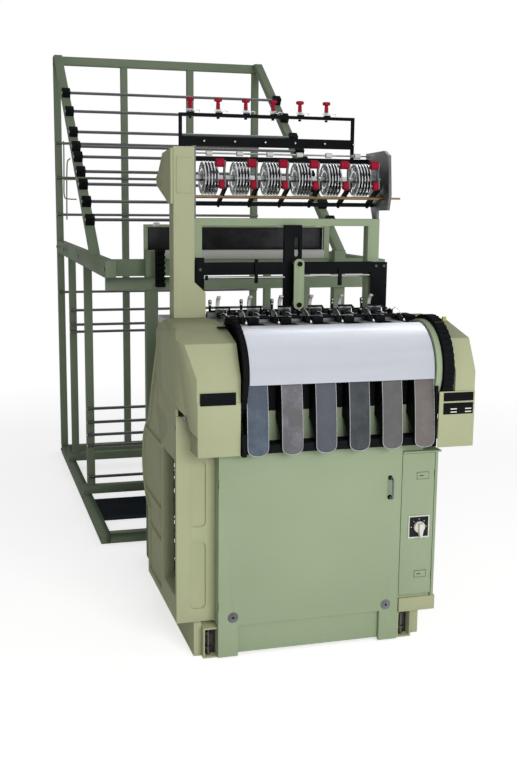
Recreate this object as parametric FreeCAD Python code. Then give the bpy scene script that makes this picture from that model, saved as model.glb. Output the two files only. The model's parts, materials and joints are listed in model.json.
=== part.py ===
import FreeCAD, Part
import math
import os

# Narrow-fabric needle loom with its yarn creel. Lengths are millimetres.
# X runs across the loom to the right, Y from the front towards the creel, Z up.
# The model is laid out with X = 0 in the middle of the loom, Y = 0 on the front
# face of the side frames and Z = 0 on the floor. It is moved at the end, so that
# the origin is the middle of the whole footprint on the floor.

V = FreeCAD.Vector
RUN = 0.06            # radial clearance of a shaft in its bearing
GAP = 0.3             # gap between parts that lie next to each other
FIT = 0.05            # radial gap between a part and the shaft it sits on

# Weaving heads across the loom
HEADS = 6
HEAD_PITCH = 122.0
FIRST_HEAD = -237.0
HEAD_X = [FIRST_HEAD + HEAD_PITCH * number for number in range(HEADS)]

# Side frames and their feet
FRAME_LEFT = -493.0   # outer face of the left side frame
FRAME_RIGHT = 472.0
WALL = 40.0
FRAME_BOTTOM = 124.0
PILLAR_TOP = 866.0
PILLAR_IN = -342.0    # inner edge of the left pillar
PILLAR_PLATE = 20.0
PILLAR_DEPTH = 60.0
FRAME_REAR = 556.0
BULGE = (509.0, 566.0, 181.0)   # centre Y, centre Z and radius of the round rear bulge
BULGE_HALF = 175.0              # half its height, where it meets the straight rear edge
SHOULDER = ((495.0, 853.0), (362.0, 1065.0))
WALL_TOP_REAR = 345.3           # the outer wall ends here above the pillar
WALL_TOP_RISE = 13.0            # the wall's top edge climbs by this towards the front
UPRIGHT = (352.0, 535.0)        # front and rear of the inner upright under the bed
UPRIGHT_WALL = 28.0
UPRIGHT_LOW = 745.0
WINDOW = (24.0, 241.0, 215.0, 710.0)
GUARD_BORDER = 12.0
GUARD_MESH = 24.0
GUARD_WIRE = 7.0
POCKET_DEPTH = 8.0
POCKET_ROUND = 18.0
POCKET_MARGIN = 20.0
POCKETS = ((148.0, 322.0), (334.0, 442.0), (456.0, 693.0), (707.0, 1010.0))
POCKET_FRONT = 278.0
PANEL_X = (-444.0, -388.0)      # sunk panels on the left pillar
PANELS = ((171.0, 416.0), (471.0, 706.0))
FOOT_LEFT = -434.0    # outer faces of the two foot bars
FOOT_RIGHT = 426.0
FOOT_THICK = 28.0
FOOT_FRONT = -12.0
FOOT_REAR = 605.0
FOOT_CHAMFER = (22.0, 97.0)
TUBES = ((-406.0, -350.0), (329.0, 385.0))   # rectangular tubes beside the foot bars
TUBE_HEIGHT = 112.0
TUBE_REAR = 600.0
TUBE_WALL = 6.0
PAD_INSET = 30.0
LIP = (104.0, 156.0)            # front lip of the right frame above its feet
LIP_THICK = 11.0

# Ties between the side frames
TIE = 50.0
TIE_LOW = 160.0
TIE_HIGH = 760.0
TIE_FRONT_Y = 20.0
TIE_REAR_Y = 440.0
MOTOR_TIES = (256.0, 376.0)

# Front sheets and the door
SHEET = 2.5
SKIN = 1.5
DOOR_X = (-356.0, 322.0)
DOOR_Z = (5.0, 738.0)
DOOR_FRONT = -57.0
DOOR_DEPTH = 14.0
LEG = 72.0
LEG_TOP = 118.0
SURROUND_BORDER = 26.0
SURROUND_TOP = 742.0
APRON_X = (-264.0, 409.0)
APRON_TOP = 905.0
TOE_BOTTOM = 11.0
PIN = 2.0
PIN_INSET = 5.0       # from a hinge pin's axis to the door's front and its edge
SWING_ROOM = 0.7      # between the swinging edge of the door and what stands behind it
SURROUND_FRONT = DOOR_FRONT + PIN_INSET + math.hypot(PIN_INSET, DOOR_DEPTH - PIN_INSET) + SWING_ROOM
TUBE_FRONT = SURROUND_FRONT
LUG_EYE = 3.2
LUG_ARM = 1.0         # how far a lug's arm reaches past the pin's axis, towards the edge
LUG_LONG = 30.0
KNUCKLE_LONG = 20.0
KNUCKLE = 5.0         # from a pin's axis to the inner faces of the door's knuckles
DOOR_LUG_INSETS = (175.0, 118.0)     # from the door's lower and upper edge to its lugs
DOOR_LUGS = (DOOR_Z[0] + DOOR_LUG_INSETS[0], DOOR_Z[1] - DOOR_LUG_INSETS[1])
HANDLE_X = 277.0
HANDLE_Z = (548.0, 620.0)
HANDLE_OUT = 28.0
HANDLE_R = 4.0
LOCKS = ((-303.0, 149.0), (274.0, 141.0))
LOCK_R = 12.0
LOCK_THICK = 3.0
LOCK_SLOT = 2.4
LOCK_STEM_R = 4.0
HANDLE_BEND = 10.0

# Electrical box, its door and its main switch
BOX_X = (323.5, 466.0)
BOX_Z = (160.0, 706.0)
BOX_REAR = 240.0
BOX_WALL = 3.0
POST = 13.5           # thick front post of the box, right of its door
POST_ROUND = 10.0
BOX_DOOR_X = (324.5, 450.0)
BOX_DOOR_Z = (172.0, 703.0)
BOX_LUG_INSETS = (53.0, 93.0)        # from the narrow door's lower and upper edge to its lugs
BOX_LUGS = (BOX_DOOR_Z[0] + BOX_LUG_INSETS[0], BOX_DOOR_Z[1] - BOX_LUG_INSETS[1])
BOX_OPENING = (344.0, 428.0, 190.0, 686.0)
LEDGE_THICK = 6.0
LEDGE_OUT = 6.0
SWITCH_X = (353.0, 436.0)
SWITCH_Z = (387.0, 471.0)
SWITCH_THICK = 2.5
SWITCH_ROUND = 6.0
KNOB_R = 19.0
KNOB_OUT = 26.0
KNOB_STEM = 5.0
GRIP_SHORT = 1.0      # the knob's grip bar ends this far inside its edge

# Drive
MAIN_Y, MAIN_Z = 210.0, 780.0
MAIN_R = 20.0
MAIN_PULLEY_R = 125.0
PULLEY_X = (170.0, 214.0)
PULLEY_RIM = 14.0
PULLEY_WEB = 18.0
MOTOR_Y, MOTOR_Z = 341.0, 340.0
MOTOR_R = 85.0
MOTOR_X = (-110.0, 140.0)
MOTOR_SHAFT_R = 12.0
MOTOR_FAN = 30.0
MOTOR_TERMINAL = 25.0
MOTOR_PULLEY_R = 42.0
BELT_THICK = 8.0
BELT_WIDTH = 32.0
BEARING_DEPTH = 24.0
BOSS = 15.0           # wall of a bearing boss round its bore

# Bed that carries the heads, the column and the portal
BED = (206.0, 535.0, 1134.0, 1158.0)
BED_FRONT_X = (-286.0, 451.0)
BED_REAR_X = (-453.0, 472.0)
BED_STEP = 350.0
BED_SHELF = (-253.0, 393.0, 34.0, 1150.0)      # black shelf from the bed to the hood: X, front, underside
REED_SLOT = (32.0, 322.0, 394.0)   # half width, front and rear of the bed's slots
RAIL = (398.0, 422.0)
RAIL_TOP = 1180.0
RAIL_X = (-290.0, 436.0)

# Gear covers
COVER_WALL = 3.0
LEFT_COVER = (-496.0, -442.0, -294.0)    # flare edge, lower body edge, right edge
LEFT_COVER_FRONT = -110.0
LEFT_COVER_BOTTOM = 745.0
FLARE = ((-457.0, 829.0), (-463.0, 852.0), (-471.0, 877.0), (-486.0, 893.0), (-494.0, 910.0))
FLARE_LOW = 812.0
FLARE_HIGH = 935.0
FLARE_ROUND = 50.0    # radius of the flare's upper left edge
FLARE_FULL = 0.0      # depth at which the flare has reached its full width
FLARE_WALL = 9.0      # upstand of the left frame behind the flare
FLARE_WALL_TOP = 960.0
RIGHT_COVER = (421.0, 482.0, 558.0)      # lower front edge, upper body edge, right edge
RIGHT_COVER_BOTTOM = 740.0
RIGHT_APRON_TOP = 940.0
COVER_REAR = 345.0
COVER_REAR_BOTTOM = 870.0
COVER_LEAN = ((930.0, 4.0), (1009.0, 4.0), (1120.0, 64.0))   # height, distance behind the front
COVER_TOP = (115.0, 1163.0)
PLATES = ((-434.0, -311.0, 921.0, 964.0), (437.0, 552.0, 905.0, 936.0), (437.0, 552.0, 858.0, 899.0))
PLATE_THICK = 1.2

# Take-off roller, its hood and wheels, all on one axis
ROLLER_Y, ROLLER_Z = 42.0, 1010.0
ROLLER_R = 72.0
ROLLER_WALL = 4.0
ROLLER_SHAFT_R = 12.0
HOOD_X = (-266.0, 406.0)
HOOD_R = 160.0
HOOD_THICK = 2.0
HOOD_LOW = 985.0
HOOD_REAR_ANGLE = 97.0
CHEEK_THICK = 12.0
RING_X = (411.0, 432.0)
RING_R = 168.0
LEFT_WHEEL_X = (-292.0, -275.5)
RIGHT_WHEEL_X = (434.0, 471.0)
WHEEL_R = 184.0
WHEEL_PROUD = 9.0     # how far the right wheel stands out in front of its cover
WELL_ROOM = 10.0
WHEEL_WELL = (ROLLER_Y + WHEEL_R + WELL_ROOM, ROLLER_Z - WHEEL_R - WELL_ROOM)
RIGHT_COVER_FRONT = ROLLER_Y - WHEEL_R + WHEEL_PROUD
WHEEL_RIM = 20.0
WHEEL_WEB = 8.0
WHEEL_GRIPS = 48
GRIP_DEEP = 3.0
GRIP_WIDE = 9.0
HUB_R = 30.0
WHEEL_HOLES = 5
WHEEL_HOLE_R = 38.0
WHEEL_HOLE_AT = 95.0

# Fabric chutes
CHUTE_WIDTH = 75.0
CHUTE_SHEET = 3.0
CHUTE_TOP = 1000.0
CHUTE_BOTTOM = 742.0
CHUTE_FACE = ((-99.0, CHUTE_TOP), (-119.0, 872.0), (-128.0, CHUTE_BOTTOM))
CHUTE_BACK = ((-110.0, CHUTE_BOTTOM), (-110.0, 779.0), (-87.0, 817.0), (-45.0, 856.0), (-45.0, CHUTE_TOP))
CHUTE_END_RISE = 24.0
CHUTE_BAR = (CHUTE_BACK[0][0] + GAP, SURROUND_FRONT, 748.0, 778.0)
CHUTE_BAR_X = (-286.0, 409.0)
CHUTE_RAIL_LAP = 22.0      # how far the upper rail reaches down over the apron

# Column, portal and harness
COLUMN = (-418.0, -339.0, 400.0, 480.0)
COLUMN_TOP = 1786.0
COLUMN_WALL = 10.0
COLUMN_PANEL = (1618.0, 1747.0)
COLUMN_PANEL_OUT = 4.0
GUSSET_TOP = 1292.0
GUSSET_X = -296.0
GUSSET_REAR = 424.0
GUARD_THICK = 10.0
GUARD = ((404.0, 1780.0), (560.0, 1767.0), (650.0, 1696.0), (690.0, 1679.0), (680.0, 1647.0),
         (525.0, 1603.0), (450.0, 1579.0), (404.0, 1579.0))
PORTAL_Y = (480.0, 530.0)
PORTAL_LEFT = (-339.0, -292.0)
PORTAL_RIGHT = (381.0, 429.0)
PORTAL_TOP = 1526.0
PORTAL_BAR = 28.0
HARNESS_Y = (424.0, 444.0)
HARNESS_CHEEK = (-327.0, -296.0, 1252.0, 1380.0)
HARNESS_BEAM = (1316.0, 1362.0)
HARNESS_UPRIGHT = (381.0, 443.0, 1158.0, 1360.0)
HARNESS_TOWER = (18.0, 89.0, 1158.0, 1503.0)
TOWER_SLOT = (58.0, 78.0, 1382.0, 1456.0)
TOWER_SLOT_ROUND = 9.0
LINK = (40.0, 80.0, 1186.0, 1377.0)
LINK_ROUND = 18.0
LINK_Y = (366.0, 374.0)
LINK_BOLT_R = 8.0

# Yarn feeder at the top
FEED_Y, FEED_Z = 500.0, 1676.0
FEED_R = 12.0
DISC_SHIFT = -26.0    # from a head's middle to its feed discs
DISC_R = 63.0
DISCS = 5
DISC_STEP = 12.0
DISC_THICK = 3.0
DISC_HUB_R = 28.0
DISC_HOLES = 6
DISC_HOLE_R = 9.0
DISC_HOLE_AT = 46.0
LEFT_PLATE_X = (-339.0, -333.0)
LEFT_PLATE = (404.0, 612.0, 1790.0)
RIGHT_PLATE_X = (415.0, 427.0)
RIGHT_PLATE = ((612.0, 1783.0), (427.0, 1788.0), (379.0, 1769.0), (362.0, 1619.0), (378.0, 1561.0),
               (484.0, 1559.0), (484.0, 1526.0), (526.0, 1526.0), (560.0, 1595.0), (612.0, 1690.0))
ARM_Y, ARM_Z = 400.0, 1652.0
ARM_LONG = 78.0
ARM_HALF = 11.0
ARM_X = (9.0, 16.0)   # an arm's two faces from its head's middle
STUD_R = 5.0
ARM_ROLLER_R = 16.0
ARM_ROLLER_LONG = 32.0
ARM_PIN_R = 4.0
ARM_KNOB_R = 13.0
ARM_KNOB_LONG = 17.0
CLAMP_X = (16.5, 22.5)
CLAMP_HALF = 13.0
CLAMP_BAR_Y, CLAMP_BAR_Z = 530.0, 1580.0
CLAMP_BAR_R = 8.0
SCREW_Y, SCREW_Z = 420.0, 1606.0
SCREW_R = 6.0
SCREW_TIP_R = 4.0
SCREW_X = (-333.0, 440.0, 486.0)
TOP_BAR = (592.0, 608.0, 1741.0, 1760.0)
YARN_ROD_Z = 1772.0
YARN_ROD_R = 7.0
COLLAR_R = 12.0
COLLAR_LONG = 14.0

# Frame with the yarn tensioners
TENSION_X = 356.0
TENSION_Y = (594.0, 606.0)
TENSION_TOP = 1921.0
TENSION_BAR = 12.0
ANGLE_Z = (1798.0, 1834.0)
HOOK_LONG = 20.0
HOOK_R = 2.5
TENSIONERS = 6
TENSIONER_FIRST = -312.0
TENSIONER_PITCH = 110.0
TENSIONER_STEM_R = 4.0
TENSIONER_DISC_R = 15.0
TENSIONER_HIGH = 55.0
TENSIONER_KNOB_R = 8.0
TENSIONER_KNOB_LONG = 30.0

# Weaving elements
SLEY_Y, SLEY_Z = 362.0, 820.0
SLEY_SHAFT_R = 14.0
SLEY_BEAM = (362.0, 384.0, 1104.0, 1128.0)
SLEY_BEAM_X = (-280.0, 396.0)
SLEY_ARMS = (-180.0, 316.0)
SLEY_ARM_THICK = 24.0
REED = (28.0, 8.0, 72.0)      # half width, depth and height of a reed
REED_FRAME = 6.0
REED_SLOTS = 9
REED_BAR = 2.0
REED_FOOT = 30.0
WEFT_BAR = (262.0, 278.0, 12.0)
LATCH_BAR = (214.0, 230.0, 20.0)
NEEDLE_BAR_X = (-258.0, 400.0)
WEFT_NEEDLE_R = 32.0
WEFT_NEEDLE = 3.0
LATCH_NEEDLE_R = 1.6
LATCH_NEEDLE_TIP = 312.0
STEM_SHIFT = -41.0
STEM_RISE = 26.0      # from the rail's top to an eyelet's foot
STEM_R = 4.0
EYE_R = 6.0
EYE_WIRE_R = 2.0
FINGER_SHIFT = -20.0
FINGER_RISE = 42.0    # from the rail's top to a finger's tip
FINGER_WIDE = 10.0
FINGER_THICK = 5.0

# Creel
CREEL_X = (-584.0, 686.0)
CREEL_Y = (1303.0, 3188.0)
BAR = 45.0
RAIL_HIGH = 48.0
POST_WIDE = 40.0
POST_IN = 25.0
POST_ROWS = (2045.0, 2785.0)
CROSS_TOP = 92.0
MID_RAIL = (1264.0, 1336.0)
REAR_TOP = 2422.0
TOP_BEAM = 47.0
REAR_POSTS = (-584.0, -182.0, 228.0, 646.0)
REAR_POST = 40.0
SLOPE = 0.697
SLOPE_AT = (1983.0, 1658.0)
SLOPE_BAR = 46.0      # height of a sloped bar's section, measured upright
PORTAL_FRONT = 1026.0
PORTAL_BEAM = (23.0, 1211.0, 1264.0)
PORTAL_POSTS = ((-407.0, -355.0), (451.0, 503.0))
PORTAL_POST_Y = (1049.0, 1097.0)
PORTAL_POST_TOP = 1375.0
CHANNEL_Y = (1110.0, 1150.0)
FOOT_TIE_HIGH = 40.0
ROD_R = 8.0
SLOPE_RODS = (2171.0, 2060.0, 1941.0, 1861.0, 1805.0, 1728.0, 1664.0, 1579.0, 1493.0)
REAR_RODS = (1917.0, 1713.0, 1493.0, 1022.0)
ROW_RODS = ((510.0, 437.0, 370.0, 311.0, 143.0), (950.0, 866.0, 824.0))
BLOCK = 40.0
GRATING_Y = (1665.0, 2000.0)
GRATING_BASE = 8.0
GRATING_HIGH = 20.0
GRATING_RIBS = 40
STOP_X = (-397.0, 416.0)
STOP_Z = (1336.0, 1380.0, 1485.0)
STOP_FRAME = 12.0
COMB = (-372.0, -334.0, 990.0, 1225.0, 1386.0)
COMB_TEETH = 6


def block(x0, x1, y0, y1, z0, z1):
    return Part.makeBox(x1 - x0, y1 - y0, z1 - z0, V(x0, y0, z0))


def rod_x(x0, x1, y, z, radius):
    return Part.makeCylinder(radius, x1 - x0, V(x0, y, z), V(1, 0, 0))


def rod_y(y0, y1, x, z, radius):
    return Part.makeCylinder(radius, y1 - y0, V(x, y0, z), V(0, 1, 0))


def rod_z(z0, z1, x, y, radius):
    return Part.makeCylinder(radius, z1 - z0, V(x, y, z0), V(0, 0, 1))


def union(shapes):
    first, rest = shapes[0], shapes[1:]
    return first.fuse(rest).removeSplitter()


def outline_face(outline, axis, at):
    """Flat face across axis. A plain point of the outline is reached by a straight
    edge, a pair of points by an arc through the first."""
    place = {
        "x": lambda a, b: V(at, a, b),
        "y": lambda a, b: V(a, at, b),
        "z": lambda a, b: V(a, b, at),
    }[axis]
    edges = []
    here = place(*outline[0])
    for step in outline[1:] + outline[:1]:
        if isinstance(step[0], tuple):
            there = place(*step[1])
            edges.append(Part.Arc(here, place(*step[0]), there).toShape())
        else:
            there = place(*step)
            if there.distanceToPoint(here) > RUN:
                edges.append(Part.LineSegment(here, there).toShape())
        here = there
    return Part.Face(Part.Wire(edges))


def plate(outline, axis, start, end):
    """A plate of that outline between start and end along axis."""
    thick = {"x": V(end - start, 0, 0), "y": V(0, end - start, 0), "z": V(0, 0, end - start)}[axis]
    return outline_face(outline, axis, start).extrude(thick)


def rounded(a0, a1, b0, b1, radius):
    """Outline of a rectangle with round corners."""
    cut = radius * (1 - math.sqrt(0.5))
    return [
        (a0 + radius, b0), (a1 - radius, b0), ((a1 - cut, b0 + cut), (a1, b0 + radius)),
        (a1, b1 - radius), ((a1 - cut, b1 - cut), (a1 - radius, b1)),
        (a0 + radius, b1), ((a0 + cut, b1 - cut), (a0, b1 - radius)),
        (a0, b0 + radius), ((a0 + cut, b0 + cut), (a0 + radius, b0)),
    ]


def bent_rod(points, radius, bend):
    """A round rod along straight runs with round bends between them."""
    corners = [V(*point) for point in points]
    edges = []
    here = corners[0]
    for before, corner, after in zip(corners, corners[1:], corners[2:]):
        back = (before - corner).normalize()
        onward = (after - corner).normalize()
        half = back.getAngle(onward) / 2
        start = corner + back * (bend / math.tan(half))
        end = corner + onward * (bend / math.tan(half))
        middle = corner + (back + onward).normalize() * (bend / math.sin(half) - bend)
        edges.append(Part.LineSegment(here, start).toShape())
        edges.append(Part.Arc(start, middle, end).toShape())
        here = end
    edges.append(Part.LineSegment(here, corners[-1]).toShape())
    section = Part.Wire(Part.makeCircle(radius, corners[0], corners[1] - corners[0]))
    return Part.Wire(edges).makePipeShell([section], True, False)


# ---------------------------------------------------------------- side frames

def wall_outline(inset=0.0):
    """Side wall seen along X: straight rear edge, round bulge, sloping shoulder."""
    bulge_y, bulge_z, bulge_r = BULGE
    low = bulge_z - BULGE_HALF
    high = bulge_z + BULGE_HALF
    rear = FRAME_REAR - inset
    far = (bulge_y + bulge_r - inset, bulge_z)
    first, second = SHOULDER
    return [
        (inset, FRAME_BOTTOM + inset), (rear, FRAME_BOTTOM + inset), (rear, low),
        (far, (rear, high)), (first[0] - inset, first[1]), (second[0] - inset, second[1] - inset),
        (WALL_TOP_REAR + inset, second[1] + WALL_TOP_RISE - inset),
        (WALL_TOP_REAR + inset, PILLAR_TOP - inset), (inset, PILLAR_TOP - inset),
    ]


def side_wall(outer, inner):
    """Cast wall with sunk fields between ribs on its outer face."""
    wall = plate(wall_outline(), "x", outer, inner)
    depth = POCKET_DEPTH if inner > outer else -POCKET_DEPTH
    field = plate(wall_outline(POCKET_MARGIN), "x", outer, outer + depth)
    reach = BULGE[0] + BULGE[2]
    for low, high in POCKETS:
        pocket = plate(rounded(POCKET_FRONT, reach, low, high, POCKET_ROUND), "x", outer, outer + depth)
        wall = wall.cut(pocket.common(field))
    window_front, window_rear, window_low, window_high = WINDOW
    opening = plate(rounded(window_front, window_rear, window_low, window_high, POCKET_ROUND),
                    "x", outer, inner)
    return wall.cut(opening)


def bearing_bosses(inner_face, side):
    """Blind bearings for the main shaft and the sley shaft, on a wall's inner face."""
    bosses, bores = [], []
    for y, z, radius in ((MAIN_Y, MAIN_Z, MAIN_R), (SLEY_Y, SLEY_Z, SLEY_SHAFT_R)):
        start, end = sorted((inner_face - side * GAP, inner_face + side * BEARING_DEPTH))
        bosses.append(rod_x(start, end, y, z, radius + BOSS))
        start, end = sorted((inner_face, inner_face + side * (BEARING_DEPTH + WALL)))
        bores.append(rod_x(start, end, y, z, radius + RUN))
    return bosses, bores


def side_frame_left():
    inner = FRAME_LEFT + WALL
    front = block(FRAME_LEFT, PILLAR_IN, 0, PILLAR_PLATE, FRAME_BOTTOM, PILLAR_TOP)
    for low, high in PANELS:
        front = front.cut(plate(rounded(*PANEL_X, low, high, POCKET_ROUND), "y", 0, POCKET_DEPTH))
    inner_side = block(PILLAR_IN - PILLAR_PLATE, PILLAR_IN, 0, PILLAR_DEPTH, FRAME_BOTTOM, PILLAR_TOP)
    floor = block(FRAME_LEFT, PILLAR_IN, 0, FRAME_REAR, FRAME_BOTTOM, FRAME_BOTTOM + PILLAR_PLATE)
    upright = block(inner, inner + UPRIGHT_WALL, *UPRIGHT, UPRIGHT_LOW, BED[2])
    bosses, bores = bearing_bosses(inner, 1)
    upstand = block(FRAME_LEFT + GAP, FRAME_LEFT + GAP + FLARE_WALL,
                    2 * COVER_WALL, COVER_REAR - COVER_WALL - GAP,
                    PILLAR_TOP, FLARE_WALL_TOP)
    frame = union([side_wall(FRAME_LEFT, inner), front, inner_side, floor, upright, upstand] + bosses)
    return frame.cut(bores)


def side_frame_right():
    inner = FRAME_RIGHT - WALL
    notch = block(inner - BEARING_DEPTH, FRAME_RIGHT + GAP, -GAP, BOX_REAR + GAP,
                  BOX_Z[0] - GAP, BOX_Z[1] + LEDGE_THICK + GAP)
    wall = side_wall(FRAME_RIGHT, inner).cut(notch)
    foot_inner = TUBES[1][0]
    top_front = block(foot_inner, FRAME_RIGHT, 0, PILLAR_PLATE,
                      BOX_Z[1] + LEDGE_THICK + GAP, PILLAR_TOP)
    floor = block(foot_inner, FRAME_RIGHT, TUBE_FRONT - GAP, FRAME_REAR,
                  FRAME_BOTTOM, BOX_Z[0] - GAP)
    lip = block(foot_inner, FRAME_RIGHT, TUBE_FRONT - GAP - LIP_THICK, TUBE_FRONT - GAP, *LIP)
    upright = block(inner - UPRIGHT_WALL, inner, *UPRIGHT, UPRIGHT_LOW, BED[2])
    well = block(foot_inner, FRAME_RIGHT, 0, WHEEL_WELL[0], WHEEL_WELL[1], PILLAR_TOP)
    bosses, bores = bearing_bosses(inner, -1)
    frame = union([wall, top_front, floor, lip, upright] + bosses)
    return frame.cut(bores + [well])


def window_guard():
    """Perforated screen that closes the left side frame's window from inside."""
    front, rear, low, high = WINDOW
    inner = FRAME_LEFT + WALL
    guard = block(inner, inner + SKIN, PILLAR_PLATE, rear + GUARD_BORDER,
                  low - GUARD_BORDER, high + GUARD_BORDER)
    holes = []
    for row in range(int((high - low) / GUARD_MESH)):
        for column in range(int((rear - front) / GUARD_MESH)):
            y = front + GUARD_MESH * column
            z = low + GUARD_MESH * row
            holes.append(block(inner, inner + SKIN, y + GUARD_WIRE, y + GUARD_MESH,
                               z + GUARD_WIRE, z + GUARD_MESH))
    return guard.cut(holes)


def base_channels():
    """A foot bar and a rectangular tube with a packing strip under each side frame."""
    back, rise = FOOT_CHAMFER
    outline = [(FOOT_FRONT, 0), (FOOT_REAR - back, 0), (FOOT_REAR, FRAME_BOTTOM - rise),
               (FOOT_REAR, FRAME_BOTTOM), (FOOT_FRONT, FRAME_BOTTOM)]
    solids = [plate(outline, "x", FOOT_LEFT, FOOT_LEFT + FOOT_THICK),
              plate(outline, "x", FOOT_RIGHT - FOOT_THICK, FOOT_RIGHT)]
    for left, right in TUBES:
        tube = block(left, right, TUBE_FRONT, TUBE_REAR, 0, TUBE_HEIGHT)
        bore = block(left + TUBE_WALL, right - TUBE_WALL, TUBE_FRONT, TUBE_REAR,
                     TUBE_WALL, TUBE_HEIGHT - TUBE_WALL)
        strip = block(left, right, PAD_INSET, FRAME_REAR - PAD_INSET, TUBE_HEIGHT, FRAME_BOTTOM)
        solids.append(tube.cut(bore).fuse(strip))
    return Part.makeCompound(solids)


def cross_ties():
    """Square bars from one side frame to the other."""
    left = FRAME_LEFT + WALL
    right = FRAME_RIGHT - WALL
    ties = [block(PILLAR_IN, right, TIE_FRONT_Y, TIE_FRONT_Y + TIE, TIE_HIGH, TIE_HIGH + TIE),
            block(left + UPRIGHT_WALL, right - UPRIGHT_WALL, TIE_REAR_Y, TIE_REAR_Y + TIE,
                  TIE_HIGH, TIE_HIGH + TIE)]
    for y in MOTOR_TIES:
        ties.append(block(left, right, y, y + TIE, TIE_LOW, TIE_LOW + TIE))
    return Part.makeCompound(ties)


# ---------------------------------------------------------------- front sheets and doors

PIN_Y = DOOR_FRONT + PIN_INSET
DOOR_PIN_X = DOOR_X[0] + PIN_INSET
BOX_PIN_X = BOX_DOOR_X[1] - PIN_INSET
HINGES = [(DOOR_PIN_X, 1, z) for z in DOOR_LUGS] + [(BOX_PIN_X, -1, z) for z in BOX_LUGS]


def hinge_lug(x, side, z):
    """Eye round the pin with an arm back to the fixed sheet. side points into the door."""
    start, end = sorted((x - side * LUG_ARM, x + side * LUG_EYE))
    arm = block(start, end, PIN_Y, SURROUND_FRONT, z, z + LUG_LONG)
    eye = rod_z(z, z + LUG_LONG, x, PIN_Y, LUG_EYE)
    return arm.fuse(eye).cut(rod_z(z, z + LUG_LONG, x, PIN_Y, PIN + FIT))


def hinge_knuckles(x, side, z):
    """Two blocks in the door's folded edge, above and below a lug."""
    start, end = sorted((x - side * (PIN_INSET - SKIN), x + side * KNUCKLE))
    knuckles = []
    for low in (z - GAP - KNUCKLE_LONG, z + LUG_LONG + GAP):
        body = block(start, end, DOOR_FRONT + SKIN, PIN_Y + KNUCKLE, low, low + KNUCKLE_LONG)
        knuckles.append(body.cut(rod_z(low, low + KNUCKLE_LONG, x, PIN_Y, PIN + RUN)))
    return knuckles


def hinge_slot(x, side, z):
    """Cut through a door's folded edge, so that it swings past a lug."""
    start, end = sorted((x - side * PIN_INSET, x - side * (PIN_INSET - SKIN)))
    return block(start, end, DOOR_FRONT, DOOR_FRONT + DOOR_DEPTH, z - GAP, z + LUG_LONG + GAP)


def hinge_pins():
    reach = KNUCKLE_LONG + GAP
    return Part.makeCompound([rod_z(z - reach, z + LUG_LONG + reach, x, PIN_Y, PIN)
                              for x, side, z in HINGES])


def folded_panel(outline):
    """Thin sheet with its edges folded back."""
    body = plate(outline, "y", DOOR_FRONT, DOOR_FRONT + DOOR_DEPTH)
    sheet = outline_face(outline, "y", DOOR_FRONT + SKIN)
    inner = Part.Face(sheet.OuterWire.makeOffset2D(-SKIN, 2))
    return body.cut(inner.extrude(V(0, DOOR_DEPTH, 0)))


def front_panel():
    """The door, one folded sheet with two legs down past the toe plate."""
    left, right = DOOR_X
    low, high = DOOR_Z
    panel = folded_panel([(left, low), (left + LEG, low), (left + LEG, LEG_TOP),
                          (right - LEG, LEG_TOP), (right - LEG, low), (right, low),
                          (right, high), (left, high)])
    hinges = [hinge for hinge in HINGES if hinge[1] > 0]
    bores = [rod_y(DOOR_FRONT, DOOR_FRONT + SKIN, x, z, LOCK_STEM_R + RUN) for x, z in LOCKS]
    panel = panel.cut(bores + [hinge_slot(*hinge) for hinge in hinges])
    return union([panel] + [knuckle for hinge in hinges for knuckle in hinge_knuckles(*hinge)])


def panel_handle():
    low, high = HANDLE_Z
    out = DOOR_FRONT - HANDLE_OUT
    return bent_rod([(HANDLE_X, DOOR_FRONT, low), (HANDLE_X, out, low), (HANDLE_X, out, high),
                     (HANDLE_X, DOOR_FRONT, high)], HANDLE_R, HANDLE_BEND)


def panel_locks():
    """Turn fasteners with a cross slot in their heads."""
    locks = []
    face = DOOR_FRONT - LOCK_THICK
    for x, z in LOCKS:
        head = rod_y(face, DOOR_FRONT, x, z, LOCK_R)
        stem = rod_y(DOOR_FRONT, DOOR_FRONT + DOOR_DEPTH - SKIN, x, z, LOCK_STEM_R)
        half = LOCK_SLOT / 2
        long = LOCK_R - LOCK_SLOT
        depth = LOCK_THICK / 2
        across = block(x - long, x + long, face, face + depth, z - half, z + half)
        upright = block(x - half, x + half, face, face + depth, z - long, z + long)
        locks.append(head.fuse(stem).cut([across, upright]))
    return Part.makeCompound(locks)


def front_surround():
    """Fixed sheet round the doorway, with a return at its left and the apron above."""
    left, right = DOOR_X
    front = SURROUND_FRONT
    back = front + SHEET
    box_roof = BOX_Z[1] + LEDGE_THICK + GAP
    border = SURROUND_BORDER
    sheet = block(left, right, front, back, LEG_TOP + GAP, SURROUND_TOP)
    doorway = block(left + border, right - border, front, back, LEG_TOP + border, DOOR_Z[1] - border)
    return_left = block(left, left + SHEET, front, 0, LEG_TOP + GAP, SURROUND_TOP)
    apron = block(*APRON_X, front, back, box_roof, APRON_TOP)
    return_right = block(right, right + SHEET, front, 0, box_roof, APRON_TOP)
    lugs = [hinge_lug(*hinge) for hinge in HINGES if hinge[1] > 0]
    return union([sheet.cut(doorway), return_left, apron, return_right] + lugs)


def toe_plate():
    """Low sheet between the feet, just behind the door's legs."""
    return block(TUBES[0][1], TUBES[1][0], SURROUND_FRONT, SURROUND_FRONT + SHEET, TOE_BOTTOM, LEG_TOP)


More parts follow.
